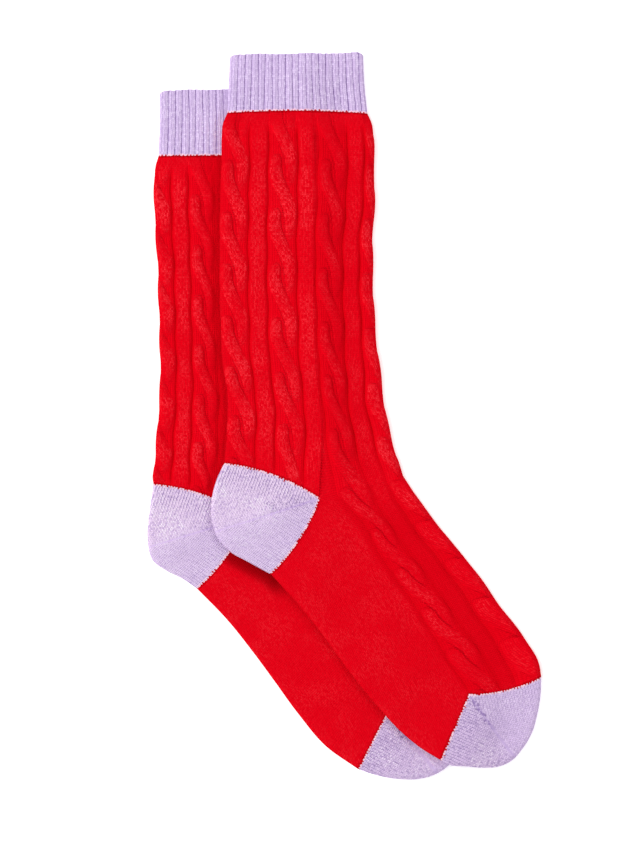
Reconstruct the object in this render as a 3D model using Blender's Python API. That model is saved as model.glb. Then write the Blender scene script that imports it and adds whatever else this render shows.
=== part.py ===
"""A pair of cable knit socks laid flat, the upper sock lying partly on the lower one.

Each sock is a flat tube of knitted wall: a ribbed cuff, a cabled leg and instep with a plain sole, a heel
pocket and a toe cap. Tables and sizes are in millimetres: +X to the right, +Y towards the cuffs, +Z up.
"""
from collections import namedtuple

import bmesh
import bpy
import numpy as np

MM = 0.001

# Driving dimensions
WALL = 1.9
SLIT = 0.5
FLAT = 2 * WALL + SLIT
FOLD = 2.8
CURVED_SEAM_GAP = 0.42
REST_GAP = 0.5
LIFT = FLAT + REST_GAP
DROP_FROM = 5.0
DROP_TO = 30.0

# Raised knitting on the upper layer
CABLE_HIGH = 2.0
RIB_HIGH = 1.1
GROOVE_DEEP = 0.4
GROOVE_HALF = 1.7
CUFF_RIB_HIGH = 0.8
CUFF_RIBS = 20
LEG_PITCH = 34.1
FOOT_PITCH = 30.6
ANKLE_RUN = 236.0
BULGE = 0.5

# On the foot the knitting is stretched: its cables are lower and wider, its grooves shallower
FOOT_LOWER = 0.55
FOOT_WIDER = 0.35
FOOT_FLATTER = 0.6
FOOT_BEGINS = (ANKLE_RUN - 30.0, ANKLE_RUN + 40.0)
ANKLE_PLAIN = 0.6
ANKLE_PLAIN_RUN = 13.0

# Where the raised knitting starts and stops
UNDER_CLEAR = (2.0, 6.0)
CUFF_FADE = (2.0, 13.0)
SEAM_FADE = (-1.5, 6.0)

# One strand of a cable, in half cable widths across and in crossings along
STRAND_SIDE = 0.5
STRAND_HALF = 0.56
CROSSES = (0.35, 1.3)
RISES = (0.0, 0.3)
WIDENS = (0.1, 0.9)
NARROWS = (1.1, 1.8)
SINKS = (1.0, 1.5)
DIVES = (1.5, 1.95)
CABLE_BED = 0.25

# Mesh steps
ROW_STEP = 5.4
CUFF_ROW_STEP = 9.4
PLAIN_ROW_STEP = 8.5
INNER_ROW_STEP = 9.5
FOLD_TURNS = (0.75 * np.pi, 0.5 * np.pi, 0.25 * np.pi)
TOP, BOTTOM = np.pi, 0.0
FRONT_BOTTOM_SHARES = {"upper": (0.0, 0.18, 0.36, 0.56, 0.78), "lower": (0.0, 0.5)}
BACK_BOTTOM_SHARES = (0.25, 0.5, 0.75)
SOLE_STEPS = np.array([0.25, 0.5, 0.75])
INNER_SHARES = np.array([0.0, 0.25, 0.5, 0.75, 1.0])
CUFF_BOTTOM_SHARES = (0.88, 0.76, 0.66, 0.56, 0.42, 0.24, 0.08)
CUFF_INNER_SHARES = (0.25, 0.5, 0.66, 0.82)
CUFF_PLAIN_SHARES = (0.64, 0.74, 0.84, 0.94)
RIB_STEPS = np.array([0.0, 0.28, 0.72])
POCKET_RINGS = 4
POCKET_INNER_RINGS = 3
HEEL_RAYS = 10
TOE_RAYS = 12

Section = namedtuple("Section", "place back_x back_y side_x side_y front_x front_y "
                                "back_bow front_bow groove_a groove_b groove_c")
Lane = namedtuple("Lane", "kind columns x_inner x_outer first pitch")
Sock = namedtuple("Sock", "name cuff leg foot heel toe back_grooves back_lanes front_lanes ribs_shown")

# The back edge is the calf and the sole, the side line runs from the cuff to the heel's tip and on to the
# toe, and the front edge is the shin and the instep. Grooves are shares of the way from side line to front.
UPPER_CUFF = (
    Section("top", -71.8, 227.5, -19.6, 228.2, 12.0, 228.8, 0, 0, 0, 0, 0),
    Section("middle", -72.4, 209.2, -19.4, 209.7, 12.8, 209.5, 0, 0, 0, 0, 0),
    Section("seam", -73.1, 191.0, -19.0, 192.4, 14.5, 191.0, 0.5, 0.3, 0, 0, 0),
)
UPPER_LEG = (
    Section("cuff seam", -73.3, 190.6, -19.0, 192.0, 14.8, 190.6, 0.5, 0.3, 0.05, 0.56, 0.85),
    Section("shoulder", -75.9, 184.6, -18.4, 185.3, 17.4, 184.6, 0, 0, 0.05, 0.56, 0.85),
    Section("under shoulder", -76.6, 176.0, -18.0, 176.4, 18.3, 176.0, 0, 0, 0.05, 0.56, 0.85),
    Section("upper calf", -76.8, 161.6, -18.0, 161.6, 18.2, 161.6, 0, 0, 0.05, 0.56, 0.85),
    Section("calf", -77.5, 142.7, -18.0, 142.7, 18.9, 142.7, 0, 0, 0.04, 0.54, 0.83),
    Section("mid leg", -77.9, 111.2, -18.5, 111.2, 17.6, 111.2, 0, 0, 0.02, 0.50, 0.79),
    Section("lower leg", -77.9, 79.7, -18.3, 79.7, 17.9, 79.7, 0, 0, 0.02, 0.49, 0.78),
    Section("above ankle", -77.0, 51.3, -17.6, 51.0, 19.6, 50.7, 0, 0, 0.03, 0.48, 0.78),
    Section("flare", -76.0, 32.4, -16.7, 29.9, 22.4, 28.0, 0, 0, 0.03, 0.46, 0.75),
    Section("ankle", -73.3, 15.4, -14.5, 10.4, 25.0, 7.2, 0.6, 0, 0.03, 0.44, 0.72),
    Section("low ankle", -73.3, -7.2, -13.2, -13.5, 29.6, -14.8, 1.8, 0, 0.05, 0.46, 0.75),
    Section("heel top", -75.2, -29.2, -15.1, -51.3, 37.0, -37.5, 4.0, 0, 0.20, 0.58, 0.79),
)
UPPER_FOOT = (
    Section("heel bottom", -46.0, -99.2, -15.1, -51.3, 37.0, -37.5, -3.4, 0, 0.20, 0.58, 0.79),
    Section("arch", -28.2, -118.7, 0.4, -71.7, 51.4, -58.8, -1.0, 0, 0.24, 0.52, 0.75),
    Section("upper foot", -11.9, -139.4, 15.9, -92.1, 67.1, -78.7, 0, 0, 0.16, 0.49, 0.73),
    Section("mid foot", 3.6, -160.7, 31.5, -112.5, 83.3, -98.5, 0, 0, 0.14, 0.48, 0.72),
    Section("ball", 20.2, -181.3, 47.0, -132.8, 97.9, -119.4, 0, -0.6, 0.10, 0.46, 0.70),
    Section("fore foot", 38.3, -200.4, 62.6, -153.2, 113.4, -139.7, 0, -1.6, 0.05, 0.45, 0.67),
    Section("toe bend", 50.0, -209.5, 71.3, -164.5, 121.3, -152.8, 0, -2.4, 0.03, 0.44, 0.65),
    Section("toe seam", 60.5, -215.8, 78.4, -174.2, 124.2, -163.8, 0, -3.0, 0.02, 0.43, 0.64),
)
UPPER_HEEL = ((-75.2, -29.2), (-80.2, -40.0), (-83.2, -53.0), (-83.1, -65.0), (-79.6, -76.0),
              (-71.5, -85.0), (-60.0, -91.6), (-46.0, -99.2))
UPPER_TOE = ((60.5, -215.8), (66.4, -219.0), (76.5, -219.9), (86.5, -220.9), (97.2, -220.4), (105.5, -216.7),
             (112.1, -209.5), (118.2, -199.4), (121.8, -187.1), (123.8, -174.5), (124.2, -163.8))

LOWER_CUFF = (
    Section("top", -116.0, 204.9, -63.0, 206.0, -31.0, 205.8, 0, 0, 0, 0, 0),
    Section("middle", -116.0, 184.6, -63.0, 184.8, -30.2, 184.6, 0, 0, 0, 0, 0),
    Section("seam", -116.6, 164.2, -62.5, 164.7, -29.0, 164.2, 0, 0, 0, 0, 0),
)
LOWER_LEG = (
    Section("cuff seam", -116.8, 163.8, -62.5, 164.3, -28.8, 163.8, 0, 0, 0.05, 0.5, 0.8),
    Section("shoulder", -118.6, 157.6, -61.0, 157.6, -25.0, 157.6, 0, 0, 0.05, 0.5, 0.8),
    Section("under shoulder", -118.9, 147.5, -60.8, 147.5, -24.2, 147.5, 0, 0, 0.05, 0.5, 0.8),
    Section("calf", -118.7, 128.0, -60.5, 128.0, -23.5, 128.0, 0, 0, 0.05, 0.5, 0.8),
    Section("mid leg", -116.9, 98.0, -60.5, 98.0, -23.5, 98.0, 0, 0, 0.05, 0.5, 0.8),
    Section("lower leg", -116.0, 68.0, -60.5, 68.0, -23.0, 68.0, 0, 0, 0.05, 0.5, 0.8),
    Section("above ankle", -115.3, 40.0, -60.0, 38.0, -20.5, 38.0, 0, 0, 0.05, 0.5, 0.8),
    Section("flare", -115.2, 20.0, -59.0, 17.0, -17.0, 15.0, 0, 0, 0.05, 0.5, 0.8),
    Section("ankle", -117.0, -8.0, -58.5, -12.0, -13.0, -10.0, 0.4, 0, 0.05, 0.5, 0.8),
    Section("heel top", -119.9, -42.4, -59.9, -62.7, -7.5, -48.8, 4.0, 0, 0.05, 0.5, 0.8),
)
LOWER_FOOT = (
    Section("heel bottom", -92.4, -108.5, -59.9, -62.7, -7.5, -48.8, -3.4, 0, 0.05, 0.5, 0.8),
    Section("arch", -74.3, -127.1, -41.5, -83.1, 11.0, -70.0, -1.0, 0, 0.05, 0.5, 0.8),
    Section("upper foot", -59.3, -145.6, -23.0, -103.6, 28.5, -92.0, 0, 0, 0.05, 0.5, 0.8),
    Section("mid foot", -43.4, -167.1, -5.0, -124.7, 44.0, -113.0, 0, 0, 0.05, 0.5, 0.8),
    Section("ball", -28.9, -187.0, 10.0, -147.0, 58.5, -136.0, 0, 0, 0.05, 0.5, 0.8),
    Section("fore foot", -11.1, -207.8, 20.0, -168.5, 69.0, -155.5, 0, 0, 0.05, 0.5, 0.8),
    Section("toe seam", 8.8, -221.9, 27.1, -186.2, 74.3, -172.3, 0, 0, 0.05, 0.5, 0.8),
)
LOWER_HEEL = ((-119.9, -42.4), (-121.4, -53.0), (-123.3, -65.4), (-123.5, -79.7), (-120.5, -90.5),
              (-112.3, -96.8), (-102.0, -101.9), (-92.4, -108.5))
LOWER_TOE = ((8.8, -221.9), (15.6, -224.3), (24.0, -226.6), (34.7, -228.2), (47.5, -228.1), (58.3, -224.9),
             (67.6, -217.8), (72.5, -205.5), (75.0, -193.0), (75.9, -182.0), (74.3, -172.3))

# Lanes are listed from the side line outwards. x runs across a whole cable from -1, left, to 1, right.
UPPER_BACK_GROOVES = (0.185, 0.50, 0.70)
UPPER_BACK_LANES = (
    Lane("rib", 2, 1, -1, 0, LEG_PITCH),
    Lane("cable", 6, 1, -1, 22.5, LEG_PITCH),
    Lane("rib", 3, 1, -1, 0, LEG_PITCH),
    Lane("cable", 6, 1, -0.9, 26.0, 32.7),
)
UPPER_FRONT_LANES = (
    Lane("plain", 1, -1, 1, 0, LEG_PITCH),
    Lane("cable", 6, -1, 1, 25.5, LEG_PITCH),
    Lane("rib", 3, -1, 1, 0, LEG_PITCH),
    Lane("cable", 3, -1, 0.1, 29.0, LEG_PITCH),
)
LOWER_BACK_GROOVES = (0.35, 0.64, 0.823)
LOWER_BACK_LANES = (
    Lane("plain", 1, 1, -1, 0, LEG_PITCH),
    Lane("cable", 6, 1, -1, 21.0, 31.3),
    Lane("rib", 3, 1, -1, 0, LEG_PITCH),
    Lane("cable", 3, 1, 0, 29.0, 31.3),
)
LOWER_FRONT_LANES = (
    Lane("plain", 0, -1, 1, 0, LEG_PITCH),
    Lane("plain", 1, -1, 1, 0, LEG_PITCH),
    Lane("plain", 0, -1, 1, 0, LEG_PITCH),
    Lane("plain", 1, -1, 1, 0, LEG_PITCH),
)

UPPER = Sock("upper", UPPER_CUFF, UPPER_LEG, UPPER_FOOT, UPPER_HEEL, UPPER_TOE,
             UPPER_BACK_GROOVES, UPPER_BACK_LANES, UPPER_FRONT_LANES, 1.0)
LOWER = Sock("lower", LOWER_CUFF, LOWER_LEG, LOWER_FOOT, LOWER_HEEL, LOWER_TOE,
             LOWER_BACK_GROOVES, LOWER_BACK_LANES, LOWER_FRONT_LANES, 0.56)

COLOURS = {
    "cuff": (0.62, 0.48, 0.77, 1.0),
    "body": (0.75, 0.004, 0.009, 1.0),
    "heel": (0.71, 0.52, 0.77, 1.0),
    "toe": (0.57, 0.43, 0.69, 1.0),
}
WOOL_ROUGHNESS = 0.9


def smoothstep(low, high, value):
    share = np.clip((value - low) / (high - low), 0, 1)
    return share * share * (3 - 2 * share)


def through(knots, values, at):
    """Cubic curve through the rows of values, with its slopes taken from the neighbours."""
    values = np.asarray(values, float)
    slopes = np.gradient(values, knots, axis=0)
    index = np.clip(np.searchsorted(knots, at, side="right") - 1, 0, len(knots) - 2)
    step = (knots[index + 1] - knots[index])[:, None]
    share = (at - knots[index])[:, None] / step
    start, end = values[index], values[index + 1]
    rise, fall = slopes[index] * step, slopes[index + 1] * step
    return (start * (1 + 2 * share) * (1 - share) ** 2 + rise * share * (1 - share) ** 2
            + end * share ** 2 * (3 - 2 * share) + fall * share ** 2 * (share - 1))


def along(points):
    """Length of a chain of points up to each of them."""
    steps = np.linalg.norm(np.diff(points, axis=0), axis=1)
    return np.concatenate(([0.0], np.cumsum(steps)))


class Rows:
    """Evenly spaced rows through a table of sections."""

    def __init__(self, sections, step, start=(0.0, 0.0)):
        table = np.array([section[1:] for section in sections], float)
        back, side, front = table[:, 0:2], table[:, 2:4], table[:, 4:6]
        knots = (along(back) + along(side) + along(front)) / 3
        self.count = max(2, int(round(knots[-1] / step)) + 1)
        at = np.linspace(0, knots[-1], self.count)
        values = through(knots, table, at)
        self.side = values[:, 2:4]
        self.edges = {"back": values[:, 0:2], "front": values[:, 4:6]}
        self.bows = {"back": values[:, 6], "front": values[:, 7]}
        self.grooves = values[:, 8:11]
        runs = {"back": along((back + side) / 2), "front": along((front + side) / 2)}
        self.runs = {half: begin + np.interp(at, knots, runs[half])
                     for half, begin in zip(("back", "front"), start)}
        self.stops = {"back": self.runs["back"][-1], "front": self.runs["front"][-1]}

    def widths(self, half):
        return np.linalg.norm(self.edges[half] - self.side, axis=1)[:, None]

    def spots(self, half, reach):
        """Places in the plane, reach millimetres from the side line towards an edge."""
        width = self.widths(half)
        line = (self.edges[half] - self.side) / width
        across = np.stack((-line[:, 1], line[:, 0]), axis=1)
        if half == "back":
            across = -across
        share = reach / width
        bow = 4 * share * (1 - share) * self.bows[half][:, None]
        return self.side[:, None] + line[:, None] * reach[..., None] + across[:, None] * bow[..., None]


def chain(points, count):
    """Evenly spaced points on a smooth curve through an outline's points."""
    points = np.asarray(points, float)
    knots = along(points)
    return through(knots, points, np.linspace(0, knots[-1], count))


def outline(sock):
    """The whole sock's outline in the plane, as one closed chain."""
    leg, foot, cuff = (Rows(table, PLAIN_ROW_STEP) for table in (sock.leg, sock.foot, sock.cuff))
    return np.concatenate((cuff.edges["back"], leg.edges["back"], chain(sock.heel, 16), foot.edges["back"],
                           chain(sock.toe, 20), foot.edges["front"][::-1], leg.edges["front"][::-1],
                           cuff.edges["front"][::-1]))


def outside(spots, ring):
    """Distance from each spot to a closed outline, negative inside it."""
    flat = spots.reshape(-1, 2)
    start, end = ring, np.roll(ring, -1, axis=0)
    way = end - start
    length = np.maximum((way ** 2).sum(axis=1), 1e-9)
    offset = flat[:, None] - start[None]
    share = np.clip((offset * way).sum(axis=2) / length, 0, 1)
    gap = np.linalg.norm(offset - share[..., None] * way, axis=2).min(axis=1)
    above = (start[:, 1] > flat[:, 1:2]) != (end[:, 1] > flat[:, 1:2])
    drop = np.where(np.abs(way[:, 1]) < 1e-9, 1e-9, way[:, 1])
    cross = start[:, 0] + (flat[:, 1:2] - start[:, 1]) / drop * way[:, 0]
    inside = (above & (flat[:, 0:1] < cross)).sum(axis=1) % 2 == 1
    return np.where(inside, -gap, gap).reshape(spots.shape[:-1])


LOWER_OUTLINE = outline(LOWER)
UPPER_OUTLINE = outline(UPPER)


def ground(sock, spots):
    """Height of what a sock rests on: the floor, or the lower sock and the slope down from it."""
    if sock.name == "lower":
        return np.zeros(spots.shape[:-1])
    return LIFT * (1 - smoothstep(DROP_FROM, DROP_TO, outside(spots, LOWER_OUTLINE)))


def cable(x, turn, widen):
    """Height share of a rope of strands, each crossing from the left to the right over the last one."""
    newest = turn - np.floor(turn)
    height = CABLE_BED * np.ones_like(x * turn)
    for age in (newest, newest + 1):
        middle = STRAND_SIDE * (2 * smoothstep(*CROSSES, age) - 1)
        half = widen * STRAND_HALF * (0.75 + 0.25 * smoothstep(*WIDENS, age) - 0.35 * smoothstep(*NARROWS, age))
        fall = (1 - 0.4 * smoothstep(*SINKS, age)) * (1 - smoothstep(*DIVES, age))
        round_top = np.clip(1 - ((x - middle) / half) ** 2, 0, 1) ** 0.65
        height = np.maximum(height, round_top * smoothstep(*RISES, age) * fall)
    return height


def turns(run, first, pitch):
    """Cable crossings made after a run down the leg, closer together past the ankle."""
    leg = np.minimum(run, ANKLE_RUN) - first
    foot = np.maximum(run - ANKLE_RUN, 0)
    return leg / pitch + foot / FOOT_PITCH


def lane_edges(sock, rows, half):
    grooves = rows.grooves if half == "front" else np.tile(sock.back_grooves, (rows.count, 1))
    ends = np.ones((rows.count, 1))
    return np.concatenate((0 * ends, grooves, ends), axis=1)


def relief(sock, rows, half, share, spots):
    """Height of the raised knitting over the plain wall, at shares of the way out from the side line."""
    edges = lane_edges(sock, rows, half)
    lanes = sock.back_lanes if half == "back" else sock.front_lanes
    width = rows.widths(half)
    run = rows.runs[half][:, None]
    foot = smoothstep(*FOOT_BEGINS, run)
    height = np.zeros(share.shape)
    for number, lane in enumerate(lanes):
        low, high = edges[:, number:number + 1], edges[:, number + 1:number + 2]
        inside = (share >= low) & (share <= high)
        part = (share - low) / (high - low)
        x = lane.x_inner + part * (lane.x_outer - lane.x_inner)
        level = 0 * x
        if lane.kind == "rib":
            level = RIB_HIGH * (1 - 0.35 * x ** 2) * (1 - FOOT_FLATTER * foot)
        elif lane.kind == "cable":
            level = cable(x, turns(run, lane.first, lane.pitch), 1 + FOOT_WIDER * foot)
            level = level - foot * CABLE_BED * (1 - level) / (1 - CABLE_BED)
            level = CABLE_HIGH * level * (1 - FOOT_LOWER * foot)
        near = np.full(share.shape, 9.0)
        if number > 0:
            near = np.minimum(near, (share - low) * width)
        if number < len(lanes) - 1:
            near = np.minimum(near, (high - share) * width)
        rise = smoothstep(0, GROOVE_HALF, near)
        groove = GROOVE_DEEP * (1 - FOOT_FLATTER * foot)
        height = np.where(inside, level * rise - groove * (1 - rise), height)
    height *= smoothstep(*CUFF_FADE, run) * smoothstep(*SEAM_FADE, rows.stops[half] - run)
    if half == "front":
        height *= 1 - ANKLE_PLAIN * np.exp(-((run - ANKLE_RUN) / ANKLE_PLAIN_RUN) ** 2)
    return height * uncovered(sock, spots)


def uncovered(sock, spots):
    """1 where a sock's upper side is open to view, falling to 0 just before the upper sock covers it."""
    if sock.name == "upper":
        return np.ones(spots.shape[:-1])
    return smoothstep(*UNDER_CLEAR, outside(spots, UPPER_OUTLINE))


class Wall:
    """Points and faces of one piece's wall."""

    def __init__(self):
        self.points = []
        self.faces = []

    def add(self, grid):
        """Adds a grid of points and returns their numbers in the same layout."""
        first = sum(len(block) for block in self.points)
        flat = grid.reshape(-1, 3)
        self.points.append(flat)
        return np.arange(first, first + len(flat)).reshape(grid.shape[:-1])

    def quads(self, numbers, closed):
        across = np.concatenate((numbers, numbers[:, :1]), axis=1) if closed else numbers
        for near, far in zip(across[:-1], across[1:]):
            for left in range(len(near) - 1):
                self.faces.append((near[left], near[left + 1], far[left + 1], far[left]))

    def rim(self, outer, outer_at, inner, inner_at):
        """Triangles between two closed loops, matched by their places along the rim."""
        outer, inner = np.append(outer, outer[0]), np.append(inner, inner[0])
        outer_at, inner_at = np.append(outer_at, outer_at[0] + 4), np.append(inner_at, inner_at[0] + 4)
        one = two = 0
        while one < len(outer) - 1 or two < len(inner) - 1:
            if two == len(inner) - 1:
                step_outer = True
            elif one == len(outer) - 1:
                step_outer = False
            else:
                step_outer = outer_at[one] + outer_at[one + 1] <= inner_at[two] + inner_at[two + 1]
            if step_outer:
                self.faces.append((outer[one], outer[one + 1], inner[two]))
                one += 1
            else:
                self.faces.append((outer[one], inner[two + 1], inner[two]))
                two += 1

    def build(self, name, colour):
        mesh = bpy.data.meshes.new(name)
        points = np.concatenate(self.points) * MM
        mesh.from_pydata(points.tolist(), [], [tuple(int(n) for n in face) for face in self.faces])
        shape = bmesh.new()
        shape.from_mesh(mesh)
        bmesh.ops.recalc_face_normals(shape, faces=shape.faces)
        if shape.calc_volume(signed=True) < 0:
            bmesh.ops.reverse_faces(shape, faces=shape.faces)
        shape.to_mesh(mesh)
        shape.free()
        mesh.shade_smooth()
        mesh.materials.append(wool(name, colour))
        piece = bpy.data.objects.new(name, mesh)
        bpy.context.scene.collection.objects.link(piece)
        return piece


def wool(name, colour):
    material = bpy.data.materials.new(name)
    material.use_nodes = True
    shader = material.node_tree.nodes["Principled BSDF"]
    shader.inputs["Base Color"].default_value = colour
    shader.inputs["Roughness"].default_value = WOOL_ROUGHNESS
    shader.inputs["Metallic"].default_value = 0.0
    return material


def lane_shares(sock, rows, half):
    """Shares out from the side line of each column on the upper layer: grooves, and points between them."""
    edges = lane_edges(sock, rows, half)
    edges[:, -1:] -= FOLD / rows.widths(half)
    shares = []
    for number, lane in enumerate(sock.back_lanes if half == "back" else sock.front_lanes):
        low, high = edges[:, number], edges[:, number + 1]
        if number > 0:
            shares.append(low)
        for step in range(lane.columns):
            shares.append(low + (high - low) * (step + 1) / (lane.columns + 1))
    return np.stack(shares, axis=1)


def outer_half(sock, rows, half, top_shares, bottom_shares, raised):
    """One half of the outer surface, from the side line over the top, round the fold and back below.

    The side line's own points are left out for the back half, because the front half has them."""
    width = rows.widths(half)
    flat_end = width - FOLD

    def strip(reach, turn):
        """Points on the upper layer (turn TOP), the lower layer (turn BOTTOM) or the fold between them."""
        spots = rows.spots(half, reach)
        rise = relief(sock, rows, half, np.clip(reach / width, 0, 1), spots) if raised else 0 * reach
        if BOTTOM < turn < TOP:
            spots = rows.spots(half, reach + BULGE * np.sin(turn) * np.maximum(rise, 0))
        height = ground(sock, spots) + FLAT / 2 * (1 - np.cos(turn)) + max(0.0, -np.cos(turn)) * rise
        return np.concatenate((spots, height[..., None]), axis=2)

    strips = [strip(top_shares * width, TOP), strip(flat_end, TOP)]
    strips += [strip(flat_end + FOLD * np.sin(turn), turn) for turn in FOLD_TURNS]
    strips += [strip(flat_end, BOTTOM), strip(np.array(bottom_shares[::-1]) * width, BOTTOM)]
    return np.concatenate(strips, axis=1)


def inner_half(sock, rows, half, shares):
    """One half of the plain inner surface, along the upper layer and back along the lower one."""
    width = rows.widths(half)
    reach = np.minimum(shares[None] * width, width - WALL)
    spots = rows.spots(half, reach)
    middle = ground(sock, spots) + FLAT / 2
    upper = np.concatenate((spots, (middle + SLIT / 2)[..., None]), axis=2)
    lower = np.concatenate((spots, (middle - SLIT / 2)[..., None]), axis=2)
    return np.concatenate((upper, lower[:, ::-1]), axis=1)


def rim_places(half_points, side_top, edge):
    """Places from 0 to 2 along half a ring: 0 at the side line above, 1 at the edge, 2 at the side below."""
    flat = half_points[:, :2]
    way = edge - side_top
    share = ((flat - side_top) @ way) / (way @ way)
    turn = int(np.argmax(share))
    return np.where(np.arange(len(share)) <= turn, share, 2 - share)


def front_surface(sock, rows):
    """Front half of the outer surface with the side line's points at both ends."""
    tops = np.concatenate((np.zeros((rows.count, 1)), lane_shares(sock, rows, "front")), axis=1)
    return outer_half(sock, rows, "front", tops, FRONT_BOTTOM_SHARES[sock.name], True)


def back_surface(sock, rows, shares, raised):
    """Back half of the outer surface, between the side line's points, from above round to below."""
    return outer_half(sock, rows, "back", shares, BACK_BOTTOM_SHARES, raised)


def body(sock):
    """The red tube from the cuff's seam to the toe's seam, with the heel's window in its back half."""
    wall = Wall()
    leg = Rows(sock.leg, ROW_STEP)
    leg.stops["front"] = np.inf
    ends = (leg.runs["back"][-1], leg.runs["front"][-1])
    foot = Rows(sock.foot, ROW_STEP if sock.name == "upper" else PLAIN_ROW_STEP, ends)
    sole = SOLE_STEPS * (1 - FOLD / foot.widths("back"))

    leg_front = wall.add(front_surface(sock, leg))
    leg_back = wall.add(back_surface(sock, leg, lane_shares(sock, leg, "back"), True))
    foot_front = wall.add(front_surface(sock, foot)[1:])
    foot_front = np.concatenate((leg_front[-1:], foot_front))
    foot_back = wall.add(back_surface(sock, foot, sole, False))
    wall.quads(np.concatenate((leg_front, leg_back[:, ::-1]), axis=1), True)
    wall.quads(np.concatenate((foot_front, foot_back[:, ::-1]), axis=1), True)
    outer_loops = (leg_front, leg_back, foot_front, foot_back)

    leg_in = Rows(sock.leg, INNER_ROW_STEP)
    foot_in = Rows(sock.foot, INNER_ROW_STEP, ends)
    in_front = wall.add(inner_half(sock, leg_in, "front", INNER_SHARES))
    in_back = wall.add(inner_half(sock, leg_in, "back", INNER_SHARES[1:]))
    sole_front = wall.add(inner_half(sock, foot_in, "front", INNER_SHARES)[1:])
    sole_front = np.concatenate((in_front[-1:], sole_front))
    sole_back = wall.add(inner_half(sock, foot_in, "back", INNER_SHARES[1:]))
    wall.quads(np.concatenate((in_front, in_back[:, ::-1]), axis=1), True)
    wall.quads(np.concatenate((sole_front, sole_back[:, ::-1]), axis=1), True)
    inner_loops = (in_front, in_back, sole_front, sole_back)

    points = np.concatenate(wall.points)
    close_ring(wall, points, (leg_front[0], leg_back[0]), (in_front[0], in_back[0]), leg, 0)
    close_ring(wall, points, (foot_front[-1], foot_back[-1]), (sole_front[-1], sole_back[-1]), foot, -1)
    window = [window_loop(points, loops, leg, foot) for loops in (outer_loops, inner_loops)]
    wall.rim(*window[0], *window[1])
    return wall.build(f"{sock.name}_body", COLOURS["body"])


def close_ring(wall, points, outer, inner, rows, index):
    """Rim between the outer and the inner surface at one end of a tube."""
    loops = []
    for front, back in (outer, inner):
        front_at = rim_places(points[front], rows.side[index], rows.edges["front"][index])
        back_at = 4 - rim_places(points[back], rows.side[index], rows.edges["back"][index])
        loops.append((np.concatenate((front, back[::-1])), np.concatenate((front_at, back_at[::-1]))))
    wall.rim(*loops[0], *loops[1])


def window_loop(points, loops, leg, foot):
    """Loop round the heel's window: up the leg's seam over the top, and back along the sole's seam."""
    leg_front, leg_back, foot_front, foot_back = loops
    top, bottom = leg_front[-1][0], leg_front[-1][-1]
    side = leg.side[-1]
    leg_at = rim_places(points[leg_back[-1]], side, leg.edges["back"][-1])
    foot_at = 4 - rim_places(points[foot_back[0]], side, foot.edges["back"][0])
    numbers = np.concatenate(([top], leg_back[-1], [bottom], foot_back[0][::-1]))
    places = np.concatenate(([0.0], leg_at, [2.0], foot_at[::-1]))
    return numbers, places


def rib_columns(sock, roll):
    """Columns over a cuff's ribs, as shares of its whole width: a groove and a crest's two sides to a rib."""
    ribs = int(round(CUFF_RIBS * sock.ribs_shown))
    shares = ((np.arange(ribs + 1)[:, None] + RIB_STEPS) / CUFF_RIBS).ravel()
    if sock.ribs_shown < 1:
        shares = np.concatenate((shares, CUFF_PLAIN_SHARES))
    return shares[(shares > roll) & (shares < 1 - roll)]


def cuff_spots(rows, share):
    """Places in the plane at shares of a cuff's whole width, from its back edge to its front edge."""
    split = rows.widths("back")
    reach = share[None] * (split + rows.widths("front")) - split
    back = rows.spots("back", np.maximum(-reach, 0))
    front = rows.spots("front", np.maximum(reach, 0))
    return np.where((reach < 0)[..., None], back, front)


def cuff(sock):
    """The ribbed cuff: a short flat tube, with ribs raised where they show."""
    wall = Wall()
    rows = Rows(sock.cuff, CUFF_ROW_STEP)
    width = rows.widths("back")[0, 0] + rows.widths("front")[0, 0]
    roll = FOLD / width
    ribs = rib_columns(sock, 1.2 * roll)
    folds = [(roll * (1 - np.sin(turn)), (1 - np.cos(turn)) / 2) for turn in FOLD_TURNS]
    ring = [(roll, 1.0, 0.0)] + [(share, 1.0, 1.0) for share in ribs] + [(1 - roll, 1.0, 0.0)]
    ring += [(1 - inset, level, 0.0) for inset, level in folds]
    ring += [(1 - roll, 0.0, 0.0)] + [(share, 0.0, 0.0) for share in CUFF_BOTTOM_SHARES] + [(roll, 0.0, 0.0)]
    ring += [(inset, level, 0.0) for inset, level in folds[::-1]]
    share, level, ribbed = (np.array(column) for column in zip(*ring))
    spots = cuff_spots(rows, share)
    wave = np.abs(np.sin(np.pi * share * CUFF_RIBS)) ** 0.6 * ribbed * (share < sock.ribs_shown)
    height = ground(sock, spots) + FLAT * level + CUFF_RIB_HIGH * wave * uncovered(sock, spots)
    outer = wall.add(np.concatenate((spots, height[..., None]), axis=2))

    inset = WALL / width
    across = np.array((inset,) + CUFF_INNER_SHARES + (1 - inset,))
    across = np.concatenate((across, across[::-1]))
    side = np.repeat((1.0, -1.0), len(across) // 2)
    spots = cuff_spots(rows, across)
    height = ground(sock, spots) + FLAT / 2 + SLIT / 2 * side
    inner = wall.add(np.concatenate((spots, height[..., None]), axis=2))
    wall.quads(outer, True)
    wall.quads(inner, True)

    front_fold = len(ribs) + 3
    outer_at = np.where(np.arange(len(share)) <= front_fold, 2 * share, 4 - 2 * share)
    outer_at[-1] = 4 + 2 * share[-1]
    inner_at = np.where(side > 0, 2 * across, 4 - 2 * across)
    for end in (0, -1):
        wall.rim(outer[end], outer_at, inner[end], inner_at)
    return wall.build(f"{sock.name}_cuff", COLOURS["cuff"])


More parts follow.
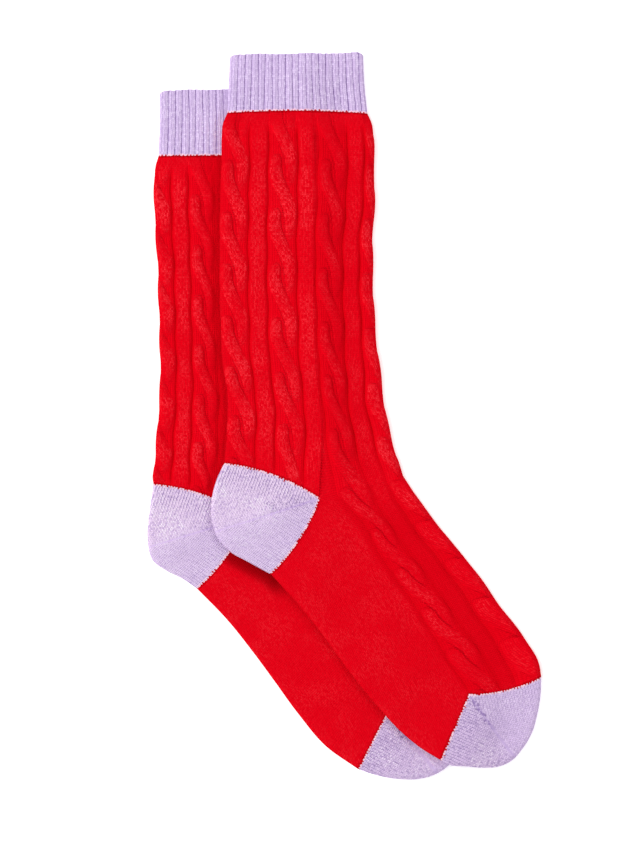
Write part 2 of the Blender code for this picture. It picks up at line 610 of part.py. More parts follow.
class Fan:
    """Rays from a heel's or toe's tip on the side line out to its edge, drawn in a little from both seams."""

    def __init__(self, tip, edge, bows, rays):
        edge = chain(edge, rays)
        ends = [(edge[ray] - tip) / np.linalg.norm(edge[ray] - tip) for ray in (0, -1)]
        middle = (ends[0] + ends[1]) / np.linalg.norm(ends[0] + ends[1])
        half_angle = np.arccos(ends[0] @ middle)
        for ray, way in zip((0, -1), ends):
            inward = np.array([-way[1], way[0]])
            edge[ray] += CURVED_SEAM_GAP * inward * np.sign(inward @ middle)
        self.tip = tip + middle * CURVED_SEAM_GAP / np.sin(half_angle)
        self.edge = edge
        self.length = np.linalg.norm(edge - self.tip, axis=1)[:, None]
        self.way = (edge - self.tip) / self.length
        pull = np.linspace(0, 1, rays)
        self.bow = bows[0] * (1 - smoothstep(0, 0.35, pull)) + bows[1] * smoothstep(0.65, 1, pull)

    def layer(self, sock, reach, height):
        """Points at a reach along the rays and a height over what the sock rests on."""
        share = reach / self.length
        curve = 4 * share * (1 - share) * self.bow[:, None]
        normal = np.stack((-self.way[:, 1], self.way[:, 0]), axis=1)
        spots = self.tip + self.way[:, None] * reach[..., None] + normal[:, None] * curve[..., None]
        return np.concatenate((spots, (ground(sock, spots) + height)[..., None]), axis=2)

    def tips(self, sock, heights):
        low = ground(sock, self.tip[None])[0]
        return np.array([[*self.tip, low + height] for height in heights])


def pocket(sock, kind, fan):
    """A heel or toe: a fan in two layers, folded at its edge and open along its seams."""
    wall = Wall()
    flat_end = fan.length - FOLD
    steps = np.arange(1, POCKET_RINGS + 1) / POCKET_RINGS
    strips = [fan.layer(sock, flat_end * steps, FLAT)]
    strips += [fan.layer(sock, flat_end + FOLD * np.sin(turn), FLAT / 2 * (1 - np.cos(turn)))
               for turn in FOLD_TURNS]
    strips += [fan.layer(sock, flat_end * steps, 0.0)[:, ::-1]]
    outer = wall.add(np.concatenate(strips, axis=1)), wall.add(fan.tips(sock, (FLAT, 0.0)))

    steps = np.arange(1, POCKET_INNER_RINGS + 1) / POCKET_INNER_RINGS * (fan.length - WALL)
    heights = FLAT / 2 + SLIT / 2, FLAT / 2 - SLIT / 2
    strips = [fan.layer(sock, steps, heights[0]), fan.layer(sock, steps, heights[1])[:, ::-1]]
    inner = wall.add(np.concatenate(strips, axis=1)), wall.add(fan.tips(sock, heights))

    loops = []
    points = np.concatenate(wall.points)
    for grid, (above, below) in (outer, inner):
        wall.quads(grid, False)
        for near, far in zip(grid[:-1], grid[1:]):
            wall.faces.append((above, near[0], far[0]))
            wall.faces.append((below, near[-1], far[-1]))
        first_at, last_at = (rim_places(points[grid[ray]], fan.tip, fan.edge[ray]) for ray in (0, -1))
        loops.append((np.concatenate(([above], grid[-1], [below], grid[0][::-1])),
                      np.concatenate(([0.0], last_at, [2.0], 4 - first_at[::-1]))))
    wall.rim(*loops[0], *loops[1])
    return wall.build(f"{sock.name}_{kind}", COLOURS[kind])


def make_sock(sock):
    heel, seam = sock.foot[0], sock.foot[-1]
    heel_tip = np.array([heel.side_x, heel.side_y])
    toe_tip = np.array([seam.side_x, seam.side_y])
    cuff(sock)
    body(sock)
    pocket(sock, "heel", Fan(heel_tip, sock.heel, (-sock.leg[-1].back_bow, -heel.back_bow), HEEL_RAYS))
    pocket(sock, "toe", Fan(toe_tip, sock.toe, (-seam.back_bow, seam.front_bow), TOE_RAYS))


def main():
    for old in list(bpy.data.objects):
        bpy.data.objects.remove(old, do_unlink=True)
    for sock in (LOWER, UPPER):
        make_sock(sock)


main()
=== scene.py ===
"""A pair of cable knit socks laid flat: knitted walls over the solids' form, stitches in the materials.

Tables and sizes are in millimetres: +X to the right, +Y towards the cuffs, +Z up.
"""
from collections import namedtuple

import bmesh
import bpy
import numpy as np
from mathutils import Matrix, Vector


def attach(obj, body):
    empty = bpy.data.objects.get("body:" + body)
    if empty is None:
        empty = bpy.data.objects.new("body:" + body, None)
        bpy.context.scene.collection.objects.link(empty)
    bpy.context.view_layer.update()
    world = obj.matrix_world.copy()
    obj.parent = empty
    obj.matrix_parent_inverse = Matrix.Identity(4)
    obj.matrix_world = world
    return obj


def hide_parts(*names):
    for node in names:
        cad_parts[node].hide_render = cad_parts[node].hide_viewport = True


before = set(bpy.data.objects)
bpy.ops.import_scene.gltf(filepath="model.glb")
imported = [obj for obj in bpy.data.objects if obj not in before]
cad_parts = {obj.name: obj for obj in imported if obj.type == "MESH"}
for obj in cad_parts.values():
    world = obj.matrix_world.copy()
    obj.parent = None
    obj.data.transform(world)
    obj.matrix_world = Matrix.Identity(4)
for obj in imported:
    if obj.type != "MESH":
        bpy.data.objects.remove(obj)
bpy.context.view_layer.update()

join, norm = np.concatenate, np.linalg.norm
MM = 0.001
TINY = 1e-9

# The camera looks straight down. Its frame is 853 pixels high, at the photograph's scale
FRAME_HIGH = 853
PIXEL = 0.63
CAMERA_AT = (-15.1, -6.3, 2600.0)
SENSOR = 36.0

# Studio, in metres and watts
CLIP_END = 100.0
KEY_AT = (-2.8, 1.3, 3.0)
KEY_SIZE = 1.8
KEY_POWER = 106.0
SKY = 0.89
FLOOR_REACH = 3.0
FLOOR_BELOW = 0.0002
FLOOR_PALE = 0.945
FLOOR_GRAIN, FLOOR_WAVES = 0.01, 900.0
FLOOR_GLOW = 0.3

# Wall: its thickness, the slit between the layers, how wide the fold is, the gap between the socks, and
# the slope off the lower one
WALL = 1.9
SLIT = 0.5
FLAT = 2 * WALL + SLIT
FOLD = 2.8
REST_GAP = 0.5
LIFT = FLAT + REST_GAP
DROP = (5.0, 30.0)

# Raised knitting on the upper layer, and where it starts and ends
CABLE_HIGH = 2.0
RIB_HIGH = 1.1
RIB_CROWN = 0.35
GROOVE_DEEP = 0.4
GROOVE_HALF = 1.7
LEG_PITCH = 34.1
FOOT_PITCH = 30.6
ANKLE_RUN = 236.0
BULGE = 0.5
UNDER_CLEAR = (2.0, 6.0)
CUFF_FADE = (4.5, 16.0)
SEAM_FADE = (-1.5, 6.0)

# Painted shade on the lower sock beside the upper one, and painted shadow in the hollow beneath its heel
SHADED = 0.35
SHADE_CLEAR = (4.0, 20.0)
HOLLOW_AT = (-58.5, -95.5)
HOLLOW_WIDE = (3.5, 10.5)
HOLLOW_REACH = (16.0, 30.0)

# One strand of a cable, in half cable widths across and in crossings along
STRAND_SIDE = 0.5
STRAND_HALF = 0.56
STRAND_STARTS = 0.75
STRAND_THINS = 0.35
STRAND_SINKS = 0.4
STRAND_ROUND = 0.65
STRAND_OVER = 0.3
CROSSES = (0.35, 1.3)
RISES = (0.0, 0.3)
WIDENS = (0.1, 0.9)
NARROWS = (1.1, 1.8)
SINKS = (1.0, 1.5)
DIVES = (1.5, 1.95)
CABLE_BED = 0.25
CREASE_SOFT = 0.04

# Softening of the relief: grooves that sway beside a cable, and that fade along the foot
SWAY = 0.45
SWAY_LEFT, SWAY_RIGHT = 0.45, 0.25
GROOVE_OPENS = 0.5
GROOVE_SOFTENS = 1.6
# Painted shade down in the grooves, and the share of painted light that plain knitting gets
GROOVE_PAINTED_SHADE = 0.12
PLAIN_LIFT = 0.4
FOOT_BEGINS = (ANKLE_RUN - 30, ANKLE_RUN + 40)
FOOT_FLATTER = 0.6
FOOT_LOWER = 0.55
FOOT_WIDER = 0.35
FOOT_SOFTER = 0.26
FOOT_CABLE_LIT = 0.2
FOOT_GROOVE_FLATTER = 0.6
ANKLE_PLAIN = 0.6
ANKLE_PLAIN_RUN = 13.0
PRESSED = 0.7
PRESSED_WIDE = 2.6

# Cuff
CUFF_RIBS = 20
CUFF_RIB_HIGH = 0.8
# Share of painted light on a cuff's underside and folds; on top the ribs' height sets it
CUFF_LIFT = 0.8
CORNER = 2.2
CORNER_POWER = 8
TOP_SCALLOP = 0.22
TOP_UNEVEN = 0.25
TOP_WAVES = 17
TOP_REACH = 5
RIB_WANDER = 0.04
RIB_WAVES = (2, 9)
RIB_STARTS = (0, 6.28)
RIB_LEAN = (-0.06, 0.06)
RIB_PHASE = 0.34
RIB_SHARPNESS = 0.38

# Mesh steps
ROW_STEP = 0.85
COLUMN_STEP = 0.75
SOLE_COLUMNS = 50
COVERED_STEP = 2.4
BOTTOM_STEP = 4.0
PLAIN_ROW_STEP = 8.5
HEEL_POINTS, TOE_POINTS = 16, 20
CUFF_ROW_STEP = 0.6
COLUMNS_PER_RIB = 10
CUFF_INNER_COLUMNS = 8
INNER_ROW_STEP = 9.5
INNER_SHARES = np.linspace(0, 1, 5)
TOP, BOTTOM = np.pi, 0.0
FOLD_TURNS = tuple(np.linspace(0.9, 0.1, 9) * np.pi)
POCKET_RAYS = 76
POCKET_RINGS = 62
POCKET_BOTTOM_RINGS = 12
POCKET_INNER_RINGS = 4
POCKET_BOW = 0.35
SEAM_STEPS = 25
RIM_ANGLE = 50
ROUND = 4  # places round a rim are counted from 0 to 4

# Stitches
WALE = 1.65
POCKET_WALE = 1.85
COURSE = 1.25
STRAND_WALES = 6
RIB_WALES = 2
FOLD_LENGTH = 7.8
FAR = 9.0


def table(kind, *rows):
    return [kind(*row) for row in rows]


Crease = namedtuple("Crease", "x0 y0 x1 y1 wide deep")
CREASES = {
    "upper": table(
        Crease,
        (-65.5, 184, -66.2, 175.5, 2.5, 1),
        (-18.3, 189.3, -17.6, 168, 1.6, 0.6),
        (-30.2, 187, -29.6, 172, 1.4, 0.5),
        (-34.6, -58.3, -70.2, -74.7, 9, -0.9),
        (-44, -60, -56.5, -67.5, 1.6, 0.5),
        (1, -42, 8, -56, 4, 0.5),
        (18, -45, 24, -52, 1.8, 0.6),
        (97.4, -204.3, 107.3, -200.7, 2.5, 0.5),
        (83, -180, 97, -200, 2.5, 0.25),
    ),
    "lower": table(
        Crease,
        (-51.7, -87.9, -27.7, -110.6, 6, 0.8),
        (-110, -82, -84, -70, 8, -0.7),
        (-100, -88, -86, -93, 4, 0.6),
    ),
}

# A cut in millimetres: all the way round a tube, or a heel or toe opened out at its edge
Cut = namedtuple("Cut", "wide long area")

Section = namedtuple("Section", "back_x back_y side_x side_y front_x front_y back_bow front_bow "
                                "groove_a groove_b groove_c", defaults=(0, 0, 0.05, 0.5, 0.8))
Lane = namedtuple("Lane", "kind x_inner x_outer first pitch lit", defaults=(0, LEG_PITCH, 1.0))
Sock = namedtuple("Sock", "name cuff leg foot heel toe back_grooves lanes")

# The back edge is the calf and the sole, the side line runs from the cuff to the heel's tip and on to the
# toe, and the front edge is the shin and the instep. Grooves are shares of the way from side line to front,
# and a cuff doesn't use them.
UPPER_CUFF = table(
    Section,
    (-71.8, 227.5, -19.6, 228.2, 12, 228.8),  # top
    (-72.4, 209.2, -19.4, 209.7, 12.8, 209.5),
    (-73.3, 190.6, -19, 192, 14.8, 190.6, 0.5, 0.3),  # seam
)
UPPER_LEG = table(
    Section,
    (-73.3, 190.6, -19, 192, 14.8, 190.6, 0.5, 0.3, 0.05, 0.56, 0.85),  # cuff seam
    (-75.9, 184.6, -18.4, 185.3, 17.4, 184.6, 0, 0, 0.05, 0.56, 0.85),  # shoulder
    (-76.6, 176, -18, 176.4, 18.3, 176, 0, 0, 0.05, 0.56, 0.85),
    (-76.8, 161.6, -18, 161.6, 18.2, 161.6, 0, 0, 0.05, 0.56, 0.85),
    (-77.5, 142.7, -18, 142.7, 18.9, 142.7, 0, 0, 0.04, 0.54, 0.83),  # calf
    (-77.9, 111.2, -18.5, 111.2, 17.6, 111.2, 0, 0, 0.02, 0.5, 0.79),  # mid leg
    (-77.9, 79.7, -18.3, 79.7, 17.9, 79.7, 0, 0, 0.02, 0.49, 0.78),
    (-77, 51.3, -17.6, 51, 19.6, 50.7, 0, 0, 0.03, 0.48, 0.78),
    (-76, 32.4, -16.7, 29.9, 22.4, 28, 0, 0, 0.03, 0.46, 0.75),  # flare
    (-73.3, 15.4, -14.5, 10.4, 25, 7.2, 0.6, 0, 0.03, 0.44, 0.72),  # ankle
    (-73.3, -7.2, -13.2, -13.5, 29.6, -14.8, 1.8, 0, 0.05, 0.46, 0.75),
    (-75.2, -29.2, -15.1, -51.3, 37, -37.5, 4, 0, 0.2, 0.58, 0.79),  # heel top
)
UPPER_FOOT = table(
    Section,
    (-46, -99.2, -15.1, -51.3, 37, -37.5, -3.4, 0, 0.2, 0.58, 0.79),  # heel bottom
    (-28.2, -118.7, 0.4, -71.7, 51.4, -58.8, -1, 0, 0.24, 0.52, 0.75),  # arch
    (-11.9, -139.4, 15.9, -92.1, 67.1, -78.7, 0, 0, 0.16, 0.49, 0.73),
    (3.6, -160.7, 31.5, -112.5, 83.3, -98.5, 0, 0, 0.14, 0.48, 0.72),
    (20.2, -181.3, 47, -132.8, 97.9, -119.4, 0, -0.6, 0.1, 0.46, 0.7),  # ball
    (38.3, -200.4, 62.6, -153.2, 113.4, -139.7, 0, -1.6, 0.05, 0.45, 0.67),
    (50, -209.5, 71.3, -164.5, 121.3, -152.8, 0, -2.4, 0.03, 0.44, 0.65),  # toe bend
    (60.5, -215.8, 78.4, -174.2, 124.2, -163.8, 0, -3, 0.02, 0.43, 0.64),  # toe seam
)
UPPER_HEEL = ((-75.2, -29.2), (-80.2, -40), (-83.2, -53), (-83.1, -65), (-79.6, -76),
              (-71.5, -85), (-60, -91.6), (-46, -99.2))
UPPER_TOE = ((60.5, -215.8), (66.4, -219), (76.5, -219.9), (86.5, -220.9), (97.2, -220.4), (105.5, -216.7),
             (112.1, -209.5), (118.2, -199.4), (121.8, -187.1), (123.8, -174.5), (124.2, -163.8))

# The lower sock's rows go the same way, fewer and all with the same grooves
LOWER_CUFF = table(
    Section,
    (-116, 204.9, -63, 206, -31, 205.8),
    (-116, 184.6, -63, 184.8, -30.2, 184.6),
    (-116.8, 163.8, -62.5, 164.3, -28.8, 163.8),
)
LOWER_LEG = table(
    Section,
    (-116.8, 163.8, -62.5, 164.3, -28.8, 163.8),
    (-118.6, 157.6, -61, 157.6, -25, 157.6),
    (-118.9, 147.5, -60.8, 147.5, -24.2, 147.5),
    (-118.7, 128, -60.5, 128, -23.5, 128),
    (-116.9, 98, -60.5, 98, -23.5, 98),
    (-116, 68, -60.5, 68, -23, 68),
    (-115.3, 40, -60, 38, -20.5, 38),
    (-115.2, 20, -59, 17, -17, 15),
    (-117, -8, -58.5, -12, -13, -10, 0.4),
    (-119.9, -42.4, -59.9, -62.7, -7.5, -48.8, 4),
)
LOWER_FOOT = table(
    Section,
    (-92.4, -108.5, -59.9, -62.7, -7.5, -48.8, -3.4),
    (-74.3, -127.1, -41.5, -83.1, 11, -70, -1),
    (-59.3, -145.6, -23, -103.6, 28.5, -92),
    (-43.4, -167.1, -5, -124.7, 44, -113),
    (-28.9, -187, 10, -147, 58.5, -136),
    (-11.1, -207.8, 20, -168.5, 69, -155.5),
    (8.8, -221.9, 27.1, -186.2, 74.3, -172.3),
)
LOWER_HEEL = ((-119.9, -42.4), (-121.4, -53), (-123.3, -65.4), (-123.5, -79.7), (-120.5, -90.5),
              (-112.3, -96.8), (-102, -101.9), (-92.4, -108.5))
LOWER_TOE = ((8.8, -221.9), (15.6, -224.3), (24, -226.6), (34.7, -228.2), (47.5, -228.1), (58.3, -224.9),
             (67.6, -217.8), (72.5, -205.5), (75, -193), (75.9, -182), (74.3, -172.3))

# Lanes are listed from the side line outwards. x runs across a whole cable from -1, left, to 1, right.
# A cable's first crossing is some way down the leg, its crossings are a pitch apart, and lit is its painted
# highlight.
UPPER = Sock("upper", UPPER_CUFF, UPPER_LEG, UPPER_FOOT, UPPER_HEEL, UPPER_TOE, (0.185, 0.5, 0.7), {
    "back": (Lane("rib", 1, -1), Lane("cable", 1, -1, 22.5),
             Lane("rib", 1, -1), Lane("cable", 1, -0.9, 26, 32.7)),
    "front": (Lane("plain", -1, 1), Lane("cable", -1, 1, 25.5, lit=0.5),
              Lane("rib", -1, 1, lit=0.75), Lane("cable", -1, 0.1, 29)),
})
LOWER = Sock("lower", LOWER_CUFF, LOWER_LEG, LOWER_FOOT, LOWER_HEEL, LOWER_TOE, (0.35, 0.64, 0.823), {
    "back": (Lane("plain", 1, -1), Lane("cable", 1, -1, 21, 31.3),
             Lane("rib", 1, -1), Lane("cable", 1, 0, 29, 31.3)),
    "front": (Lane("plain", -1, 1),) * 4,
})


def smooth(low, high, value):
    share = np.clip((value - low) / (high - low), 0, 1)
    return share * share * (3 - 2 * share)


def through(knots, values, at):
    """Cubic curve through the rows of values, with its slopes taken from the neighbours."""
    values = np.asarray(values, float)
    slopes = np.gradient(values, knots, axis=0)
    index = np.clip(np.searchsorted(knots, at, side="right") - 1, 0, len(knots) - 2)
    step = (knots[index + 1] - knots[index])[:, None]
    share = (at - knots[index])[:, None] / step
    start, end = values[index], values[index + 1]
    rise, fall = slopes[index] * step, slopes[index + 1] * step
    return (start * (1 + 2 * share) * (1 - share) ** 2 + rise * share * (1 - share) ** 2
            + end * share ** 2 * (3 - 2 * share) + fall * share ** 2 * (share - 1))


def along(points):
    """Length of a chain of points up to each of them."""
    steps = norm(np.diff(points, axis=0), axis=1)
    return join(([0.0], np.cumsum(steps)))


def bowed(start, way, length, bow, reach):
    """Places at a reach along lines that are bowed to one side in their middle."""
    share = reach / length
    across = np.stack((-way[:, 1], way[:, 0]), axis=1)
    curve = 4 * share * (1 - share) * bow[:, None]
    return start + way[:, None] * reach[..., None] + across[:, None] * curve[..., None]


class Rows:
    """Evenly spaced rows through a table of sections, which may go on from the rows before them."""

    def __init__(self, sections, step, before=None):
        numbers = np.array(sections, float)
        back, side, front = numbers[:, 0:2], numbers[:, 2:4], numbers[:, 4:6]
        knots = (along(back) + along(side) + along(front)) / 3
        self.count = max(2, int(round(knots[-1] / step)) + 1)
        self.at = np.linspace(0, knots[-1], self.count)
        values = through(knots, numbers, self.at)
        self.side = values[:, 2:4]
        self.edges = {"back": values[:, 0:2], "front": values[:, 4:6]}
        self.bows = {"back": values[:, 6], "front": values[:, 7]}
        self.grooves = values[:, 8:11]
        middles = {"back": along((back + side) / 2), "front": along((front + side) / 2)}
        self.runs = {half: (before.runs[half][-1] if before else 0.0) + np.interp(self.at, knots, middle)
                     for half, middle in middles.items()}
        self.stops = {half: self.runs[half][-1] for half in middles}
        from_start = self.at[:, None]
        to_end = (knots[-1] - self.at)[:, None]
        self.courses = (before.courses[-1, 0] if before else 0.0) + from_start / COURSE
        self.seams = {"back": np.minimum(from_start, to_end), "front": to_end if before else from_start}

    def widths(self, half):
        return norm(self.edges[half] - self.side, axis=1)[:, None]

    def spots(self, half, reach):
        """Places in the plane, reach millimetres from the side line towards an edge."""
        width = self.widths(half)
        bow = -self.bows[half] if half == "back" else self.bows[half]
        return bowed(self.side[:, None], (self.edges[half] - self.side) / width, width, bow, reach)


def chain(points, count):
    """Evenly spaced points on a smooth curve through an outline's points."""
    points = np.asarray(points, float)
    knots = along(points)
    return through(knots, points, np.linspace(0, knots[-1], count))


def outline(sock):
    """The whole sock's outline in the plane, as one closed chain."""
    leg, foot, cuff = (Rows(rows, PLAIN_ROW_STEP).edges for rows in (sock.leg, sock.foot, sock.cuff))
    return join((cuff["back"], leg["back"], chain(sock.heel, HEEL_POINTS), foot["back"],
                 chain(sock.toe, TOE_POINTS), foot["front"][::-1], leg["front"][::-1], cuff["front"][::-1]))


def nearest(spots, start, end):
    """Distance from each spot to the closest of some straight lines."""
    way = end - start
    length = np.maximum((way ** 2).sum(axis=1), TINY)
    offset = spots[..., None, :] - start
    share = np.clip((offset * way).sum(axis=-1) / length, 0, 1)
    return norm(offset - share[..., None] * way, axis=-1).min(axis=-1)


def outside(spots, ring):
    """Distance from each spot to a closed outline, negative inside it."""
    x, y = spots[..., :1], spots[..., 1:]
    end = np.roll(ring, -1, axis=0)
    way = end - ring
    drop = np.where(np.abs(way[:, 1]) < TINY, TINY, way[:, 1])
    crossed = ((ring[:, 1] > y) != (end[:, 1] > y)) & (x < ring[:, 0] + (y - ring[:, 1]) / drop * way[:, 0])
    gap = nearest(spots, ring, end)
    return np.where(crossed.sum(axis=-1) % 2 == 1, -gap, gap)


LOWER_OUTLINE = outline(LOWER)
UPPER_OUTLINE = outline(UPPER)


def ground(sock, spots):
    """Height of what a sock rests on: the floor, or the lower sock and the slope down from it."""
    if sock.name == "lower":
        return np.zeros(spots.shape[:-1])
    return LIFT * (1 - smooth(*DROP, outside(spots, LOWER_OUTLINE)))


def cable(x, turn, foot):
    """A rope of strands, each crossing from the left to the right over the last one.

    Gives the height share, and where across its strand each place is, from 0 to 1."""
    widest = (1 + FOOT_WIDER * foot) * STRAND_HALF
    soften = CREASE_SOFT + FOOT_SOFTER * foot
    newest = turn - np.floor(turn)
    height = CABLE_BED * np.ones_like(x * turn)
    place = (x + 1) / 2 + 0 * height
    for age in (newest, newest + 1):
        middle = STRAND_SIDE * (2 * smooth(*CROSSES, age) - 1)
        half = widest * (STRAND_STARTS + (1 - STRAND_STARTS) * smooth(*WIDENS, age)
                         - STRAND_THINS * smooth(*NARROWS, age))
        fall = (1 - STRAND_SINKS * smooth(*SINKS, age)) * (1 - smooth(*DIVES, age))
        round_top = np.clip(1 - ((x - middle) / half) ** 2, 0, 1) ** STRAND_ROUND
        strand = round_top * smooth(*RISES, age) * fall
        over = smooth(0, STRAND_OVER, strand - height)
        place = place + over * (0.5 + (x - middle) / half / 2 - place)
        height = (height + strand + np.hypot(height - strand, soften)) / 2
    return height, place


def turns(run, lane):
    """Cable crossings made after a run down the leg, closer together past the ankle."""
    leg = np.minimum(run, ANKLE_RUN) - lane.first
    foot = np.maximum(run - ANKLE_RUN, 0)
    return leg / lane.pitch + foot / FOOT_PITCH


def lane_edges(sock, rows, half):
    """Shares of the width at the side line, each groove and the edge, swayed by the cables beside them."""
    grooves = rows.grooves if half == "front" else np.tile(sock.back_grooves, (rows.count, 1))
    ends = np.ones((rows.count, 1))
    edges = join((0 * ends, grooves, ends), axis=1)
    run = rows.runs[half]
    width = rows.widths(half)[:, 0]
    for number, lane in enumerate(sock.lanes[half]):
        if lane.kind != "cable":
            continue
        turn = turns(run, lane)
        for edge, x, outward in ((number, lane.x_inner, -1), (number + 1, lane.x_outer, 1)):
            if 0 < edge < edges.shape[1] - 1:
                push = np.cos(2 * np.pi * (turn - (SWAY_RIGHT if x > 0 else SWAY_LEFT)))
                edges[:, edge] += outward * SWAY * push / width
    return edges


def lane_counts(sock, half, step):
    """Whole number of steps across each lane, the same for leg and foot."""
    rows = Rows(sock.leg, PLAIN_ROW_STEP)
    sizes = np.diff(lane_edges(sock, rows, half), axis=1) * (rows.widths(half) - FOLD)
    return [max(1, int(round(size / step))) for size in sizes.mean(axis=0)]


def edge_wales(sock, half):
    """Wales counted out to the edge, from the side line or from the groove beside a plain first lane."""
    counts = lane_counts(sock, half, WALE)
    lanes = sock.lanes[half]
    total = sum(STRAND_WALES if lane.kind == "cable" else count for lane, count in zip(lanes, counts))
    return total - (counts[0] if lanes[0].kind == "plain" else 0)


def knitting(sock, rows, half, share, spots):
    """Raised knitting over the plain wall: its height, the wales counted out, and its share of painted
    light.
    """
    edges = lane_edges(sock, rows, half)
    lanes = sock.lanes[half]
    wales = lane_counts(sock, half, WALE)
    width = rows.widths(half)
    run = rows.runs[half][:, None]
    foot = smooth(*FOOT_BEGINS, run)
    height, painted_light, wale = np.zeros((3, *share.shape))
    counted_before = 0
    for number, lane in enumerate(lanes):
        low, high = edges[:, number:number + 1], edges[:, number + 1:number + 2]
        inside = (share >= low) & (share <= high)
        part = (share - low) / (high - low)
        x = lane.x_inner + part * (lane.x_outer - lane.x_inner)
        counted = part * wales[number]
        open_groove = 1.0
        if lane.kind == "cable":
            turn = turns(run, lane)
            level, place = cable(x, turn, foot)
            level = level - foot * CABLE_BED * (1 - level) / (1 - CABLE_BED)
            shown = level * (1 - FOOT_FLATTER * foot) + FOOT_CABLE_LIT * foot * PLAIN_LIFT
            level = CABLE_HIGH * level * (1 - FOOT_LOWER * foot)
            counted = (place if lane.x_outer > lane.x_inner else 1 - place) * STRAND_WALES
            wales[number] = STRAND_WALES
            open_groove = 1 + GROOVE_OPENS * np.cos(2 * np.pi * turn) * (x < 0)
        elif lane.kind == "rib":
            level = RIB_HIGH * (1 - RIB_CROWN * x ** 2) * (1 - FOOT_FLATTER * foot)
            shown = level / CABLE_HIGH
        else:
            level = 0 * x
            shown = PLAIN_LIFT + level
        # Painted highlight turned down on the leg's lanes that lie on the slope away from the light
        shown = shown * (lane.lit + (1 - lane.lit) * foot)
        if number == 0 and lane.kind == "plain":
            counted = (share - high) * width / WALE
            wales[number] = 0
        near = np.full(share.shape, FAR)
        if number > 0:
            near = np.minimum(near, (share - low) * width)
        if number < len(lanes) - 1:
            near = np.minimum(near, (high - share) * width)
        rise = smooth(0, GROOVE_HALF + GROOVE_SOFTENS * foot, near)
        depth = open_groove * (1 - FOOT_GROOVE_FLATTER * foot)
        height = np.where(inside, level * rise - GROOVE_DEEP * depth * (1 - rise), height)
        # Painted highlight on raised knitting, painted shade down in the grooves
        painted_light = np.where(inside, shown * rise - GROOVE_PAINTED_SHADE * depth * (1 - rise), painted_light)
        wale = np.where(inside, counted_before + counted, wale)
        counted_before += wales[number]
    fade = smooth(*CUFF_FADE, run) * smooth(*SEAM_FADE, rows.stops[half] - run)
    if half == "front":
        fade = fade * (1 - ANKLE_PLAIN * np.exp(-((run - ANKLE_RUN) / ANKLE_PLAIN_RUN) ** 2))
    fade = fade * uncovered(sock, spots)
    painted_light = PLAIN_LIFT + fade * (painted_light - PLAIN_LIFT)
    # Painted shade on the lower sock beside the upper one: less painted light near its outline
    if sock.name == "lower":
        painted_light = painted_light * (SHADED + (1 - SHADED) * smooth(*SHADE_CLEAR, outside(spots, UPPER_OUTLINE)))
    return height * fade, wale, painted_light


def uncovered(sock, spots):
    """1 where a sock's upper side is open to view, falling to 0 just before the upper sock covers it."""
    if sock.name == "upper":
        return np.ones(spots.shape[:-1])
    return smooth(*UNDER_CLEAR, outside(spots, UPPER_OUTLINE))


def hollow(spots):
    """Painted shadow on the lower sock in the hollow beneath the upper heel's lower edge, 0 in the open."""
    close = 1 - smooth(*HOLLOW_WIDE, outside(spots, UPPER_OUTLINE))
    away = norm(spots - HOLLOW_AT, axis=-1)
    return close * (1 - smooth(*HOLLOW_REACH, away))


def grid_of(spots, height, wale=0.0, course=0.0, lift=0.0, seam=FAR, mitre=FAR, shade=0.0):
    """Points with the numbers that the wool's material reads: wales counted across, courses counted along,
    lift of the relief as a share of painted light, distances to the nearest change of colour and to the
    mitre line, and painted shadow."""
    values = (height, wale, course, lift, seam, mitre, shade)
    columns = [np.broadcast_to(value, spots.shape[:-1])[..., None] for value in values]
    return join([spots] + columns, axis=-1)


def creased(sock, spots):
    """Depth of the soft troughs pressed into a sock's upper layer."""
    depth = np.zeros(spots.shape[:-1])
    if sock.name == "lower":
        depth = PRESSED * np.exp(-(outside(spots, UPPER_OUTLINE) / PRESSED_WIDE) ** 2)
    for crease in CREASES[sock.name]:
        gap = nearest(spots, np.array([crease[0:2]]), np.array([crease[2:4]]))
        depth += crease.deep * np.exp(-(gap / crease.wide) ** 2)
    return depth


